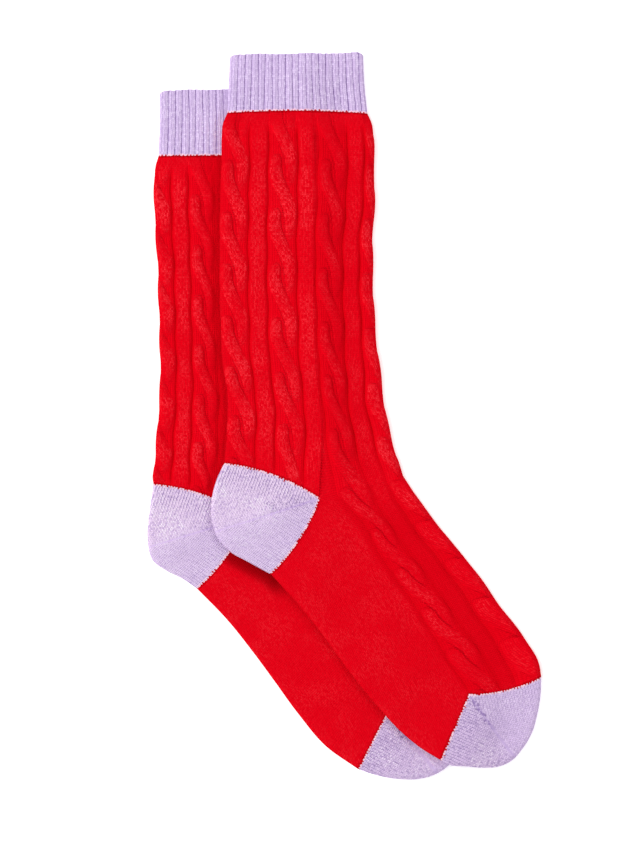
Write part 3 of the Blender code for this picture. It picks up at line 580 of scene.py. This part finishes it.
class Wall:
    """Points and faces of one piece's wall."""

    def __init__(self):
        self.points = []
        self.faces = []

    def add(self, grid):
        """Adds a grid of points and returns their numbers in the same layout."""
        first = sum(len(block) for block in self.points)
        flat = grid.reshape(-1, grid.shape[-1])
        self.points.append(flat)
        return np.arange(first, first + len(flat)).reshape(grid.shape[:-1])

    def quads(self, numbers, closed=False):
        across = join((numbers, numbers[:, :1]), axis=1) if closed else numbers
        corners = (across[:-1, :-1], across[:-1, 1:], across[1:, 1:], across[1:, :-1])
        self.faces += np.stack(corners, axis=-1).reshape(-1, 4).tolist()

    def rim(self, outer, outer_at, inner, inner_at):
        """Triangles between two closed loops, matched by their places along the rim."""
        outer, inner = np.append(outer, outer[0]), np.append(inner, inner[0])
        outer_at = np.append(outer_at, outer_at[0] + ROUND)
        inner_at = np.append(inner_at, inner_at[0] + ROUND)
        one = two = 0
        while one < len(outer) - 1 or two < len(inner) - 1:
            if two == len(inner) - 1 or (one < len(outer) - 1 and outer_at[one] + outer_at[one + 1]
                                         <= inner_at[two] + inner_at[two + 1]):
                self.faces.append((outer[one], outer[one + 1], inner[two]))
                one += 1
            else:
                self.faces.append((outer[one], inner[two + 1], inner[two]))
                two += 1

    def build(self, name, material):
        points = join(self.points)
        mesh = bpy.data.meshes.new(name)
        faces = [tuple(int(number) for number in face) for face in self.faces]
        mesh.from_pydata((points[:, :3] * MM).tolist(), [], faces)
        shape = bmesh.new()
        shape.from_mesh(mesh)
        bmesh.ops.recalc_face_normals(shape, faces=shape.faces)
        if shape.calc_volume(signed=True) < 0:
            bmesh.ops.reverse_faces(shape, faces=shape.faces)
        shape.to_mesh(mesh)
        shape.free()
        for label, first in (("stitch", 3), ("marks", 6)):
            values = points[:, first:first + 3].astype(np.float32)
            mesh.attributes.new(label, "FLOAT_VECTOR", "POINT").data.foreach_set("vector", values.ravel())
        mesh.shade_smooth()
        mesh.set_sharp_from_angle(angle=np.radians(RIM_ANGLE))
        mesh.materials.append(material)
        return add_object(name, mesh)


def lane_shares(sock, rows, half, step):
    """Shares out from the side line of each column on the upper layer, with a column on every groove."""
    edges = lane_edges(sock, rows, half)
    edges[:, -1:] -= FOLD / rows.widths(half)
    shares = []
    for number, columns in enumerate(lane_counts(sock, half, step)):
        low, high = edges[:, number], edges[:, number + 1]
        for column in range(number == 0, columns):
            shares.append(low + (high - low) * column / columns)
    return np.stack(shares, axis=1)


def outer_half(sock, rows, half, top_shares, bottom_shares, raised, first_wale=0.0):
    """One half of the outer surface, from the side line over the top, round the fold and back below.

    The side line's own points are left out for the back half, because the front half has them."""
    width = rows.widths(half)
    flat_end = width - FOLD
    sign = -1 if half == "back" else 1
    top_edge = bottom_edge = first_wale + flat_end / WALE
    if raised:
        top_edge = knitting(sock, rows, half, flat_end / width, rows.spots(half, flat_end))[1]
        bottom_edge = edge_wales(sock, half)

    def strip(reach, turn):
        """Points on the upper layer (turn TOP), the lower layer (turn BOTTOM) or the fold between them."""
        spots = rows.spots(half, reach)
        share = np.clip(reach / width, 0, 1)
        rise, wale, painted_light = 0 * reach, first_wale + reach / WALE, PLAIN_LIFT + 0 * reach
        if raised:
            rise, wale, painted_light = knitting(sock, rows, half, share, spots)
        if turn < TOP:
            wale = top_edge + (bottom_edge + FOLD_LENGTH / WALE - top_edge) * (1 - turn / np.pi)
        if turn == BOTTOM:
            wale = wale * reach / flat_end
        if BOTTOM < turn < TOP:
            spots = rows.spots(half, reach + BULGE * np.sin(turn) * np.maximum(rise, 0))
        up = max(0.0, -np.cos(turn))
        height = ground(sock, spots) + FLAT / 2 * (1 - np.cos(turn)) + up * rise
        if turn > TOP / 2:
            height = height - up * creased(sock, spots)
        # Share of painted light: the relief's on the upper layer, the plain share round the fold and
        # underneath
        painted_light = PLAIN_LIFT + up * (painted_light - PLAIN_LIFT)
        # Painted shadow in the hollow beneath the upper heel, on the lower sock
        shade = up * hollow(spots) if sock.name == "lower" else 0.0
        return grid_of(spots, height, sign * wale, rows.courses, painted_light, rows.seams[half], shade=shade)

    strips = [strip(top_shares * width, TOP), strip(flat_end, TOP)]
    strips += [strip(flat_end + FOLD * np.sin(turn), turn) for turn in FOLD_TURNS]
    strips += [strip(flat_end, BOTTOM), strip(np.array(bottom_shares[::-1]) * width, BOTTOM)]
    return join(strips, axis=1)


def inner_half(sock, rows, half, shares):
    """One half of the plain inner surface, along the upper layer and back along the lower one."""
    width = rows.widths(half)
    reach = np.minimum(shares[None] * width, width - WALL)
    spots = rows.spots(half, reach)
    middle = ground(sock, spots) + FLAT / 2
    upper = grid_of(spots, middle + SLIT / 2, reach / WALE, rows.courses)
    lower = grid_of(spots, middle - SLIT / 2, reach / WALE, rows.courses)
    return join((upper, lower[:, ::-1]), axis=1)


def rim_places(half_points, side_top, edge):
    """Places along half a ring: 0 at the side line above, 1 at the edge, 2 at the side line below."""
    flat = half_points[:, :2]
    way = edge - side_top
    share = ((flat - side_top) @ way) / (way @ way)
    turn = int(np.argmax(share))
    return np.where(np.arange(len(share)) <= turn, share, ROUND / 2 - share)


def bottom_shares(rows, half):
    count = int(round(rows.widths(half).mean() / BOTTOM_STEP))
    return tuple(np.arange(count) / count)


def tube(wall, leg_halves, foot_halves):
    """Adds leg and foot as closed tubes. The foot's front half starts with the leg's last row."""
    leg_front, leg_back = (wall.add(half) for half in leg_halves)
    foot_front = join((leg_front[-1:], wall.add(foot_halves[0][1:])))
    foot_back = wall.add(foot_halves[1])
    for front, back in ((leg_front, leg_back), (foot_front, foot_back)):
        wall.quads(join((front, back[:, ::-1]), axis=1), True)
    return leg_front, leg_back, foot_front, foot_back


def body(sock, material):
    """The red tube from the cuff's seam to the toe's seam, with the heel's window in its back half."""
    wall = Wall()
    leg = Rows(sock.leg, ROW_STEP)
    leg.stops["front"] = np.inf
    foot = Rows(sock.foot, ROW_STEP, leg)
    sole = np.arange(1, SOLE_COLUMNS) / SOLE_COLUMNS * (1 - FOLD / foot.widths("back"))
    plain_wales = lane_edges(sock, foot, "front")[:, 1:2] * foot.widths("front") / WALE
    front_step = COLUMN_STEP if sock.name == "upper" else COVERED_STEP

    def front(rows):
        tops = (np.zeros((rows.count, 1)), lane_shares(sock, rows, "front", front_step))
        bottoms = bottom_shares(leg, "front")
        return outer_half(sock, rows, "front", join(tops, axis=1), bottoms, True)

    def back(rows, shares, raised, first_wale=0.0):
        return outer_half(sock, rows, "back", shares, bottom_shares(leg, "back")[1:], raised, first_wale)

    def inside(rows):
        halves = (("front", INNER_SHARES), ("back", INNER_SHARES[1:]))
        return [inner_half(sock, rows, half, shares) for half, shares in halves]

    outer = tube(wall, (front(leg), back(leg, lane_shares(sock, leg, "back", COLUMN_STEP), True)),
                 (front(foot), back(foot, sole, False, plain_wales)))
    leg_in = Rows(sock.leg, INNER_ROW_STEP)
    inner = tube(wall, inside(leg_in), inside(Rows(sock.foot, INNER_ROW_STEP, leg_in)))

    points = join(wall.points)[:, :3]
    close_ring(wall, points, [grid[0] for grid in outer[:2]], [grid[0] for grid in inner[:2]], leg, 0)
    close_ring(wall, points, [grid[-1] for grid in outer[2:]], [grid[-1] for grid in inner[2:]], foot, -1)
    wall.rim(*window_loop(points, outer, leg, foot), *window_loop(points, inner, leg, foot))
    return wall.build(f"{sock.name}_body_knit", material)


def close_ring(wall, points, outer, inner, rows, index):
    """Rim between the outer and the inner surface at one end of a tube."""
    loops = []
    for front, back in (outer, inner):
        front_at = rim_places(points[front], rows.side[index], rows.edges["front"][index])
        back_at = ROUND - rim_places(points[back], rows.side[index], rows.edges["back"][index])
        loops.append((join((front, back[::-1])), join((front_at, back_at[::-1]))))
    wall.rim(*loops[0], *loops[1])


def window_loop(points, loops, leg, foot):
    """Loop round the heel's window: up the leg's seam over the top, and back along the sole's seam."""
    leg_front, leg_back, foot_front, foot_back = loops
    top, bottom = leg_front[-1][0], leg_front[-1][-1]
    side = leg.side[-1]
    leg_at = rim_places(points[leg_back[-1]], side, leg.edges["back"][-1])
    foot_at = ROUND - rim_places(points[foot_back[0]], side, foot.edges["back"][0])
    numbers = join(([top], leg_back[-1], [bottom], foot_back[0][::-1]))
    places = join(([0.0], leg_at, [ROUND / 2], foot_at[::-1]))
    return numbers, places


def cuff_spots(rows, share):
    """Places in the plane at shares of a cuff's whole width, from its back edge to its front edge."""
    split = rows.widths("back")
    reach = share[None] * (split + rows.widths("front")) - split
    from_top = np.clip(CORNER - rows.at, 0, CORNER)[:, None]
    corner = CORNER - np.sqrt(CORNER ** 2 - from_top ** 2)
    reach = reach - np.sign(share - 0.5)[None] * corner * np.abs(2 * share - 1)[None] ** CORNER_POWER
    back = rows.spots("back", np.maximum(-reach, 0))
    front = rows.spots("front", np.maximum(reach, 0))
    spots = np.where((reach < 0)[..., None], back, front)
    scallop = TOP_SCALLOP * np.cos(2 * np.pi * CUFF_RIBS * share)
    scallop += TOP_UNEVEN * np.sin(TOP_WAVES * share + 1)
    spots[..., 1] -= scallop[None] * (1 - smooth(0, TOP_REACH, rows.at))[:, None]
    return spots


def ribs_across(rows, share):
    """How many ribs each place on a cuff lies from its back edge, with grooves that wander a little."""
    draws = np.random.RandomState(4)
    across = share[None] * CUFF_RIBS - RIB_PHASE + 0.0 * rows.at[:, None]
    for _ in range(3):
        waves, phase, lean = (draws.uniform(*reach) for reach in (RIB_WAVES, RIB_STARTS, RIB_LEAN))
        wave = 2 * np.pi * waves * share[None] + phase + lean * rows.at[:, None]
        across = across + RIB_WANDER * np.sin(wave)
    return across


def cuff(sock, material):
    """The ribbed cuff: a short flat tube, with ribs raised where they show."""
    wall = Wall()
    rows = Rows(sock.cuff, CUFF_ROW_STEP)
    width = rows.widths("back")[0, 0] + rows.widths("front")[0, 0]
    roll = FOLD / width
    top = np.linspace(roll, 1 - roll, CUFF_RIBS * COLUMNS_PER_RIB)
    under = np.linspace(1 - roll, roll, CUFF_RIBS)
    ring = [(share, 1.0) for share in top]
    ring += [(1 - roll * (1 - np.sin(turn)), (1 - np.cos(turn)) / 2) for turn in FOLD_TURNS]
    ring += [(share, 0.0) for share in under]
    ring += [(roll * (1 - np.sin(turn)), (1 - np.cos(turn)) / 2) for turn in FOLD_TURNS[::-1]]
    share, level = (np.array(column) for column in zip(*ring))
    spots = cuff_spots(rows, share)
    across = ribs_across(rows, share)
    wave = np.abs(np.sin(np.pi * across)) ** RIB_SHARPNESS
    above = np.clip(2 * level - 1, 0, 1)
    rise = CUFF_RIB_HIGH * wave * above * uncovered(sock, spots)
    height = ground(sock, spots) + FLAT * level + rise
    seam = np.abs(rows.at[-1] - rows.at)[:, None]
    # Share of painted light: the ribs' height on top, painted shade in their grooves
    outer = wall.add(grid_of(spots, height, across * RIB_WALES, rows.courses,
                             CUFF_LIFT + above * (wave - CUFF_LIFT), seam))

    inset = WALL / width
    across = np.linspace(inset, 1 - inset, CUFF_INNER_COLUMNS)
    across = join((across, across[::-1]))
    side = np.repeat((1.0, -1.0), CUFF_INNER_COLUMNS)
    inner_rows = Rows(sock.cuff, INNER_ROW_STEP)
    spots = cuff_spots(inner_rows, across)
    height = ground(sock, spots) + FLAT / 2 + SLIT / 2 * side
    inner = wall.add(grid_of(spots, height, across * CUFF_RIBS * RIB_WALES, inner_rows.courses))
    wall.quads(outer, True)
    wall.quads(inner, True)

    front_fold = len(top) - 1 + (len(FOLD_TURNS) + 1) // 2
    outer_at = np.where(np.arange(len(share)) <= front_fold, 2 * share, ROUND - 2 * share)
    late = len(top) + len(FOLD_TURNS) + len(under) + len(FOLD_TURNS) // 2
    outer_at[late + 1:] = ROUND + 2 * share[late + 1:]
    inner_at = np.where(side > 0, 2 * across, ROUND - 2 * across)
    for end in (0, -1):
        wall.rim(outer[end], outer_at, inner[end], inner_at)
    return wall.build(f"{sock.name}_cuff_knit", material)


class Fan:
    """Rays from a heel's or toe's tip on the side line out to its edge."""

    def __init__(self, tip, edge, bows):
        self.tip = np.array(tip)
        self.edge = chain(edge, POCKET_RAYS)
        self.length = norm(self.edge - self.tip, axis=1)[:, None]
        self.way = (self.edge - self.tip) / self.length
        pull = np.linspace(0, 1, POCKET_RAYS)
        self.bow = (bows[0] * (1 - smooth(0, POCKET_BOW, pull))
                    + bows[1] * smooth(1 - POCKET_BOW, 1, pull))
        steps = np.linspace(0, 1, SEAM_STEPS)[None]
        self.seams = self.spots(self.length * steps)[[0, -1]]

    def spots(self, reach):
        """Places in the plane at a reach along the rays, bowed near the seams."""
        return bowed(self.tip, self.way, self.length, self.bow, reach)

    def layer(self, sock, reach, height):
        """Points at a reach along the rays and a height over what the sock rests on."""
        return self.stitched(sock, self.spots(reach), height)

    def stitched(self, sock, spots, height):
        """Points with stitches that run square to the nearer seam and meet along the mitre line."""
        offset = spots - self.tip
        gaps = [nearest(spots, line[:-1], line[1:]) for line in self.seams]
        runs = [offset @ self.way[ray] for ray in (0, -1)]
        wale = np.where(gaps[0] < gaps[1], runs[0], runs[1]) / POCKET_WALE
        depth = np.minimum(gaps[0], gaps[1])
        mitre = (gaps[0] - gaps[1]) / 2
        height = ground(sock, spots) + height - creased(sock, spots) * smooth(FLAT / 2, FLAT, height)
        return grid_of(spots, height, wale, depth / COURSE, PLAIN_LIFT, depth, mitre)

    def tips(self, sock, heights):
        return join([self.stitched(sock, self.tip[None], height) for height in heights])


def pocket(sock, kind, fan, material):
    """A heel or toe: a fan in two layers, folded at its edge and open along its seams."""
    wall = Wall()
    flat_end = fan.length - FOLD
    steps = np.arange(1, POCKET_RINGS + 1) / POCKET_RINGS
    low_steps = np.arange(1, POCKET_BOTTOM_RINGS + 1) / POCKET_BOTTOM_RINGS
    strips = [fan.layer(sock, flat_end * steps, FLAT)]
    strips += [fan.layer(sock, flat_end + FOLD * np.sin(turn), FLAT / 2 * (1 - np.cos(turn)))
               for turn in FOLD_TURNS]
    strips += [fan.layer(sock, flat_end * low_steps, 0.0)[:, ::-1]]
    outer = wall.add(join(strips, axis=1)), wall.add(fan.tips(sock, (FLAT, 0.0)))

    steps = np.arange(1, POCKET_INNER_RINGS + 1) / POCKET_INNER_RINGS * (fan.length - WALL)
    heights = FLAT / 2 + SLIT / 2, FLAT / 2 - SLIT / 2
    strips = [fan.layer(sock, steps, heights[0]), fan.layer(sock, steps, heights[1])[:, ::-1]]
    inner = wall.add(join(strips, axis=1)), wall.add(fan.tips(sock, heights))

    loops = []
    points = join(wall.points)[:, :3]
    for grid, (above, below) in (outer, inner):
        wall.quads(grid)
        for near, far in zip(grid[:-1], grid[1:]):
            wall.faces.append((above, near[0], far[0]))
            wall.faces.append((below, near[-1], far[-1]))
        first_at, last_at = (rim_places(points[grid[ray]], fan.tip, fan.edge[ray]) for ray in (0, -1))
        loops.append((join(([above], grid[-1], [below], grid[0][::-1])),
                      join(([0.0], last_at, [ROUND / 2], ROUND - first_at[::-1]))))
    wall.rim(*loops[0], *loops[1])
    return wall.build(f"{sock.name}_{kind}_knit", material)


class Nodes:
    """Short calls for making a material's nodes."""

    def __init__(self, name):
        self.material = bpy.data.materials.new(name)
        self.material.use_nodes = True
        self.tree = self.material.node_tree
        self.shader = self.tree.nodes["Principled BSDF"]

    def new(self, kind):
        return self.tree.nodes.new("ShaderNode" + kind)

    def put(self, socket, value):
        if isinstance(value, bpy.types.NodeSocket):
            self.tree.links.new(value, socket)
        else:
            socket.default_value = value

    def math(self, operation, *values):
        node = self.new("Math")
        node.operation = operation
        for socket, value in zip(node.inputs, values):
            self.put(socket, value)
        return node.outputs[0]

    def times(self, product, *values):
        for value in values:
            product = self.math("MULTIPLY", product, value)
        return product

    def line(self, value, scale, base):
        return self.math("MULTIPLY_ADD", value, scale, base)

    def rest(self, value):
        return self.math("SUBTRACT", 1.0, value)

    def around(self, value, scale, base, middle=0.5):
        """Adds to a base how far a value is from its middle, scaled."""
        return self.line(self.math("SUBTRACT", value, middle), scale, base)

    def smooth(self, low, high, value):
        """Goes smoothly from 0 at low to 1 at high."""
        node = self.new("MapRange")
        node.interpolation_type = "SMOOTHSTEP"
        for socket, number in zip(node.inputs, (value, low, high, 0.0, 1.0)):
            self.put(socket, number)
        return node.outputs[0]

    def mix(self, share, one, two):
        node = self.new("Mix")
        node.data_type = "RGBA"
        for socket, value in ((node.inputs[0], share), (node.inputs[6], one), (node.inputs[7], two)):
            self.put(socket, value)
        return node.outputs[2]

    def noise(self, waves, detail=1.0):
        node = self.new("TexNoise")
        node.inputs["Scale"].default_value = waves
        node.inputs["Detail"].default_value = detail
        self.put(node.inputs["Vector"], self.new("TexCoord").outputs["Object"])
        return node.outputs["Fac"]

    def attribute(self, name):
        node = self.new("Attribute")
        node.attribute_name = name
        parts = self.new("SeparateXYZ")
        self.tree.links.new(node.outputs["Vector"], parts.inputs[0])
        return parts.outputs

    def finish(self, **values):
        """Sets plain values on the shader, with _ for a space in a socket's name."""
        for name, value in values.items():
            self.shader.inputs[name.replace("_", " ")].default_value = value
        return self.material


# Wool. Noises are in waves a metre, and a pair of numbers says where a mark starts and where it is full.
WALE_WAVES, COURSE_WAVES = 260.0, 310.0
PLAIN_SWAY, STRONG_SWAY = (0.35, 0.5), (0.6, 0.9)
LEG_ROUND = 0.6
BEAD = 0.6
BETWEEN = (0.42, 0.1)
# Where the share of painted light turns the deep colour to the face colour, and brings in the fuzz's
# painted highlight
LIFTED, RIB_LIFTED = (-0.2, 0.45), (0.25, 0.85)
HIGH, RIB_IS_HIGH = (0.2, 0.75), 0.5
GRAIN = (0.2, 0.7)
MOTTLE_WAVES = 70.0
# Patches of stronger and weaker painted highlight on the fuzz
PATCH, PATCH_WAVES, RIB_PATCHY = (0.38, 0.62), 48.0, 0.3
FLECK = (0.3, 0.0)
RAGGED, RAGGED_WAVES = 2.4, 500.0
FRINGE = (1.6, 0.3)
TOOTH, POCKET_TOOTH, TOOTH_BACK = (2.4, 1.2), (3.4, 1.8), 0.175
TOOTH_EDGE = (0.12, -0.12)
# Painted shadow in the hollow beneath the upper heel
HOLLOW_PAINTED_SHADOW = 0.85
FUZZ, FUZZ_WAVES = 0.35, 2400.0

# Where a heel or toe turns: its far side's painted shade, the mitre line's joined stitches and painted
# shade, lines and open holes
CLEAR = (0.1, 0.7)
MITRE_STITCH, MITRE_BETWEEN = 0.4, 0.35
FAR_SIDE, FAR_SIDE_PAINTED_SHADE, FAR_SIDE_LINES = (-7.0, 6.0), 0.55, -0.5
MITRE_PAINTED_SHADE = 0.4
WANDER, WANDER_WAVES = 4.0, 300.0
LOOP_WIDE, LOOP_END = (0.9, 0.3), (24.0, 18.0)
LOOP, LOOP_WAVES = (0.44, 0.56), 560.0
LINE_END = (24.0, 5.0)
LINE, LINE_WAVES = (0.32, 0.5), 420.0
HOLE_WIDE, HOLE_AT, HOLE_STRAYS = (5.5, 1.5), 2.0, 12.0
HOLE_START, HOLE_END = (2.0, 7.0), (26.0, 18.0)
HOLE, HOLE_WAVES, HOLE_DARK = (0.52, 0.6), 760.0, 1.2


def knit(name, yarn, neighbour=None, depth=0.00045, ribbed=False, mitred=False):
    """Wool in stocking stitch: columns of V stitches, with painted highlight on the fuzz where the knitting
    stands up.
    """
    n = Nodes(name)
    wale, course, lift = n.attribute("stitch")
    seam, mitre, shade = n.attribute("marks")
    wale_sway, course_sway = STRONG_SWAY if ribbed or mitred else PLAIN_SWAY
    wale_at = n.around(n.noise(WALE_WAVES, 2.0), wale_sway, wale)
    course_at = n.around(n.noise(COURSE_WAVES, 2.0), course_sway, course)

    arm = n.times(n.math("PINGPONG", wale_at, 0.5), 2.0)
    leg = n.math("POWER", n.times(arm, n.rest(arm), 4.0), LEG_ROUND)
    phase = n.times(n.line(arm, 0.5, course_at), 2 * np.pi)
    bead = n.line(n.math("COSINE", phase), 0.5, 0.5)
    stitch = n.times(leg, n.line(bead, BEAD, 1 - BEAD))
    between = n.smooth(*BETWEEN, arm)
    if mitred:
        clear = n.smooth(*CLEAR, n.math("ABSOLUTE", mitre))
        stitch = n.around(stitch, clear, MITRE_STITCH, MITRE_STITCH)
        between = n.around(between, clear, MITRE_BETWEEN, MITRE_BETWEEN)

    cell = n.new("TexWhiteNoise")
    arm_of_stitch = n.new("CombineXYZ")
    n.put(arm_of_stitch.inputs[0], n.math("FLOOR", n.times(wale_at, 2.0)))
    n.put(arm_of_stitch.inputs[1], n.math("FLOOR", course_at))
    n.put(cell.inputs["Vector"], arm_of_stitch.outputs[0])
    chance = cell.outputs["Value"]
    mottle = n.noise(MOTTLE_WAVES, 2.0)

    # Painted shade where the knitting lies low, painted highlight on its fuzz specks where it stands high
    lifted = n.smooth(*(RIB_LIFTED if ribbed else LIFTED), lift)
    high = RIB_IS_HIGH if ribbed else n.smooth(*HIGH, lift)
    grain = n.times(n.smooth(*GRAIN, stitch), n.math("POWER", chance, yarn.rarity))
    tone = n.line(stitch, yarn.stitch, n.times(lifted, 1.0 - yarn.stitch))
    tone = n.around(mottle, yarn.mottle, tone)
    colour = n.mix(tone, yarn.deep, yarn.face)
    colour = n.mix(n.times(between, yarn.between), colour, yarn.deep)
    patchy = RIB_PATCHY if ribbed else 1.0
    patch = n.line(n.smooth(*PATCH, n.noise(PATCH_WAVES)), patchy, 0.9 - 0.5 * patchy)
    colour = n.mix(n.times(grain, patch, n.line(high, yarn.glow_high, yarn.glow)), colour, yarn.bright)
    colour = n.mix(n.times(n.smooth(*FLECK, chance), yarn.flecks), colour, yarn.deep)
    if mitred:
        # Painted shade on the mitre's far side, and along the mitre line where the stitches' bumps are
        # smoothed out
        side = n.smooth(*FAR_SIDE, mitre)
        colour = n.mix(n.times(side, FAR_SIDE_PAINTED_SHADE), colour, yarn.shade)
        colour = n.mix(n.times(n.rest(clear), MITRE_PAINTED_SHADE), colour, yarn.deep)
        wander = n.around(n.noise(WANDER_WAVES), WANDER, mitre)
        loops = n.times(n.smooth(*LOOP_WIDE, n.math("ABSOLUTE", wander)), n.smooth(*LOOP_END, seam),
                        n.smooth(*LOOP, n.noise(LOOP_WAVES)), yarn.join)
        colour = n.mix(loops, colour, yarn.hole)
        lines = n.times(between, n.smooth(*LINE_END, seam), n.smooth(*LINE, n.noise(LINE_WAVES)),
                        n.line(side, FAR_SIDE_LINES, 1.0), yarn.lines)
        colour = n.mix(lines, colour, yarn.hole)
        beside = n.math("ADD", n.around(mottle, HOLE_STRAYS, mitre), HOLE_AT)
        dashes = n.times(n.smooth(*HOLE, n.noise(HOLE_WAVES)), n.rest(stitch), HOLE_DARK)
        holes = n.times(n.smooth(*HOLE_WIDE, n.math("ABSOLUTE", beside)),
                        n.times(n.smooth(*HOLE_START, seam), n.smooth(*HOLE_END, seam)), dashes, yarn.lines)
        colour = n.mix(holes, colour, yarn.hole)
    ragged = n.times(n.math("SUBTRACT", n.noise(RAGGED_WAVES), 0.5), RAGGED)
    fringe = n.smooth(*FRINGE, n.math("ADD", seam, ragged))
    colour = n.mix(n.times(fringe, yarn.fringe), colour, yarn.seam)
    if neighbour is not None:
        tooth_long, tooth_ragged = POCKET_TOOTH if mitred else TOOTH
        tooth = n.line(n.math("PINGPONG", wale_at, 0.5), tooth_long, -TOOTH_BACK * tooth_long)
        past = n.math("SUBTRACT", seam, n.line(ragged, tooth_ragged, tooth))
        colour = n.mix(n.smooth(*TOOTH_EDGE, past), colour, neighbour.seam)
    # Painted shadow on the lower sock in the hollow beneath the upper heel
    colour = n.mix(n.times(shade, HOLLOW_PAINTED_SHADOW), colour, yarn.hole)
    n.put(n.shader.inputs["Base Color"], colour)

    bump = n.new("Bump")
    bump.inputs["Distance"].default_value = depth
    n.put(bump.inputs["Height"], n.line(n.noise(FUZZ_WAVES, 3.0), FUZZ, stitch))
    n.put(n.shader.inputs["Normal"], bump.outputs[0])
    return n.finish(Roughness=0.92, Specular_IOR_Level=0.0, Sheen_Weight=yarn.sheen, Sheen_Roughness=0.55,
                    Sheen_Tint=yarn.bright)


# Colours of one yarn: flats, deep places and their painted shade, the fuzz's painted highlight, a mitre's
# far side in painted shade, holes and painted shadow, and the last course at a seam. The numbers say how
# strongly each mark shows.
Yarn = namedtuple("Yarn", "face deep bright shade hole seam stitch mottle glow glow_high rarity between "
                          "lines flecks fringe sheen join")
RED = Yarn((0.73, 0.0010, 0.0083, 1), (0.60, 0.0004, 0.005, 1), (0.96, 0.037, 0.054, 1),
           (0.65, 0.001, 0.007, 1), (0.3, 0.0005, 0.003, 1), (0.46, 0.0004, 0.004, 1),
           0.25, 0.20, 0.03, 0.75, 1.8, 0.2, 0.0, 0.15, 0.8, 0.0, 0.0)
RIB_LILAC = Yarn((0.65, 0.50, 0.77, 1), (0.24, 0.15, 0.37, 1), (0.85, 0.73, 0.93, 1),
                 (0.55, 0.43, 0.69, 1), (0.2, 0.12, 0.3, 1), (0.97, 0.60, 0.68, 1),
                 0.3, 0.3, 0.2, 1.0, 2.2, 0.4, 0.0, 0.12, 0.8, 0.05, 0.0)
HEEL_LILAC = Yarn((0.86, 0.67, 0.88, 1), (0.40, 0.28, 0.55, 1), (0.98, 0.91, 0.99, 1),
                  (0.62, 0.48, 0.74, 1), (0.25, 0.16, 0.38, 1), (0.98, 0.66, 0.74, 1),
                  0.5, 0.25, 0.6, 0.0, 2.2, 0.3, 0.85, 0.5, 0.7, 0.05, 0.25)
TOE_LILAC = Yarn((0.71, 0.53, 0.80, 1), (0.31, 0.22, 0.44, 1), (0.94, 0.81, 0.98, 1),
                 (0.65, 0.50, 0.77, 1), (0.25, 0.16, 0.38, 1), (0.98, 0.66, 0.74, 1),
                 0.5, 0.3, 0.7, 0.0, 2.2, 0.2, 0.6, 0.55, 0.8, 0.05, 0.8)


def add_object(name, data):
    made = bpy.data.objects.new(name, data)
    bpy.context.scene.collection.objects.link(made)
    return made


def make_camera():
    data = bpy.data.cameras.new("camera")
    data.sensor_width = SENSOR
    data.lens = SENSOR * CAMERA_AT[2] / (FRAME_HIGH * PIXEL)
    data.clip_end = CLIP_END
    camera = add_object("camera", data)
    camera.location = [place * MM for place in CAMERA_AT]
    bpy.context.scene.camera = camera


def make_floor():
    mesh = bpy.data.meshes.new("floor")
    corners = ((-1, -1), (1, -1), (1, 1), (-1, 1))
    corners = [(x * FLOOR_REACH, y * FLOOR_REACH, -FLOOR_BELOW) for x, y in corners]
    mesh.from_pydata(corners, [], [(0, 1, 2, 3)])
    n = Nodes("floor_paper")
    grain = n.line(n.noise(FLOOR_WAVES, 2.0), FLOOR_GRAIN, FLOOR_PALE)
    tone = n.new("CombineColor")
    for socket in tone.inputs[:3]:
        n.put(socket, grain)
    n.put(n.shader.inputs["Base Color"], tone.outputs[0])
    mesh.materials.append(n.finish(Roughness=0.95, Specular_IOR_Level=0.1, Emission_Color=(1, 1, 1, 1),
                                   Emission_Strength=FLOOR_GLOW))
    add_object("floor", mesh)


def make_lights():
    data = bpy.data.lights.new("key", "AREA")
    data.size = KEY_SIZE
    data.energy = KEY_POWER
    key = add_object("key", data)
    key.location = KEY_AT
    key.rotation_mode = "QUATERNION"
    key.rotation_quaternion = (-Vector(KEY_AT)).to_track_quat("-Z", "Y")
    world = bpy.data.worlds.new("studio")
    world.use_nodes = True
    background = world.node_tree.nodes["Background"]
    background.inputs["Color"].default_value = (1, 1, 1, 1)
    background.inputs["Strength"].default_value = SKY
    bpy.context.scene.world = world


def main():
    view = bpy.context.scene.view_settings
    view.view_transform = "Standard"
    view.look = "None"
    make_camera()
    make_floor()
    make_lights()

    red = knit("red_wool", RED, depth=0.00035)
    ribbed = knit("lilac_ribbed_wool", RIB_LILAC, RED, depth=0.0003, ribbed=True)
    heel_wool = knit("lilac_heel_wool", HEEL_LILAC, RED, mitred=True)
    toe_wool = knit("lilac_toe_wool", TOE_LILAC, RED, mitred=True)
    for sock in (LOWER, UPPER):
        heel, seam = sock.foot[0], sock.foot[-1]
        heel_fan = Fan((heel.side_x, heel.side_y), sock.heel, (-sock.leg[-1].back_bow, -heel.back_bow))
        toe_fan = Fan((seam.side_x, seam.side_y), sock.toe, (-seam.back_bow, seam.front_bow))
        made = {
            "cuff": (cuff(sock, ribbed), "lilac_rib"),
            "body": (body(sock, red), "red_cable_knit"),
            "heel": (pocket(sock, "heel", heel_fan, heel_wool), "lilac_knit"),
            "toe": (pocket(sock, "toe", toe_fan, toe_wool), "lilac_knit"),
        }
        for kind, (piece, slot) in made.items():
            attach(piece, "root")
            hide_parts(f"{sock.name}_{kind}")


main()
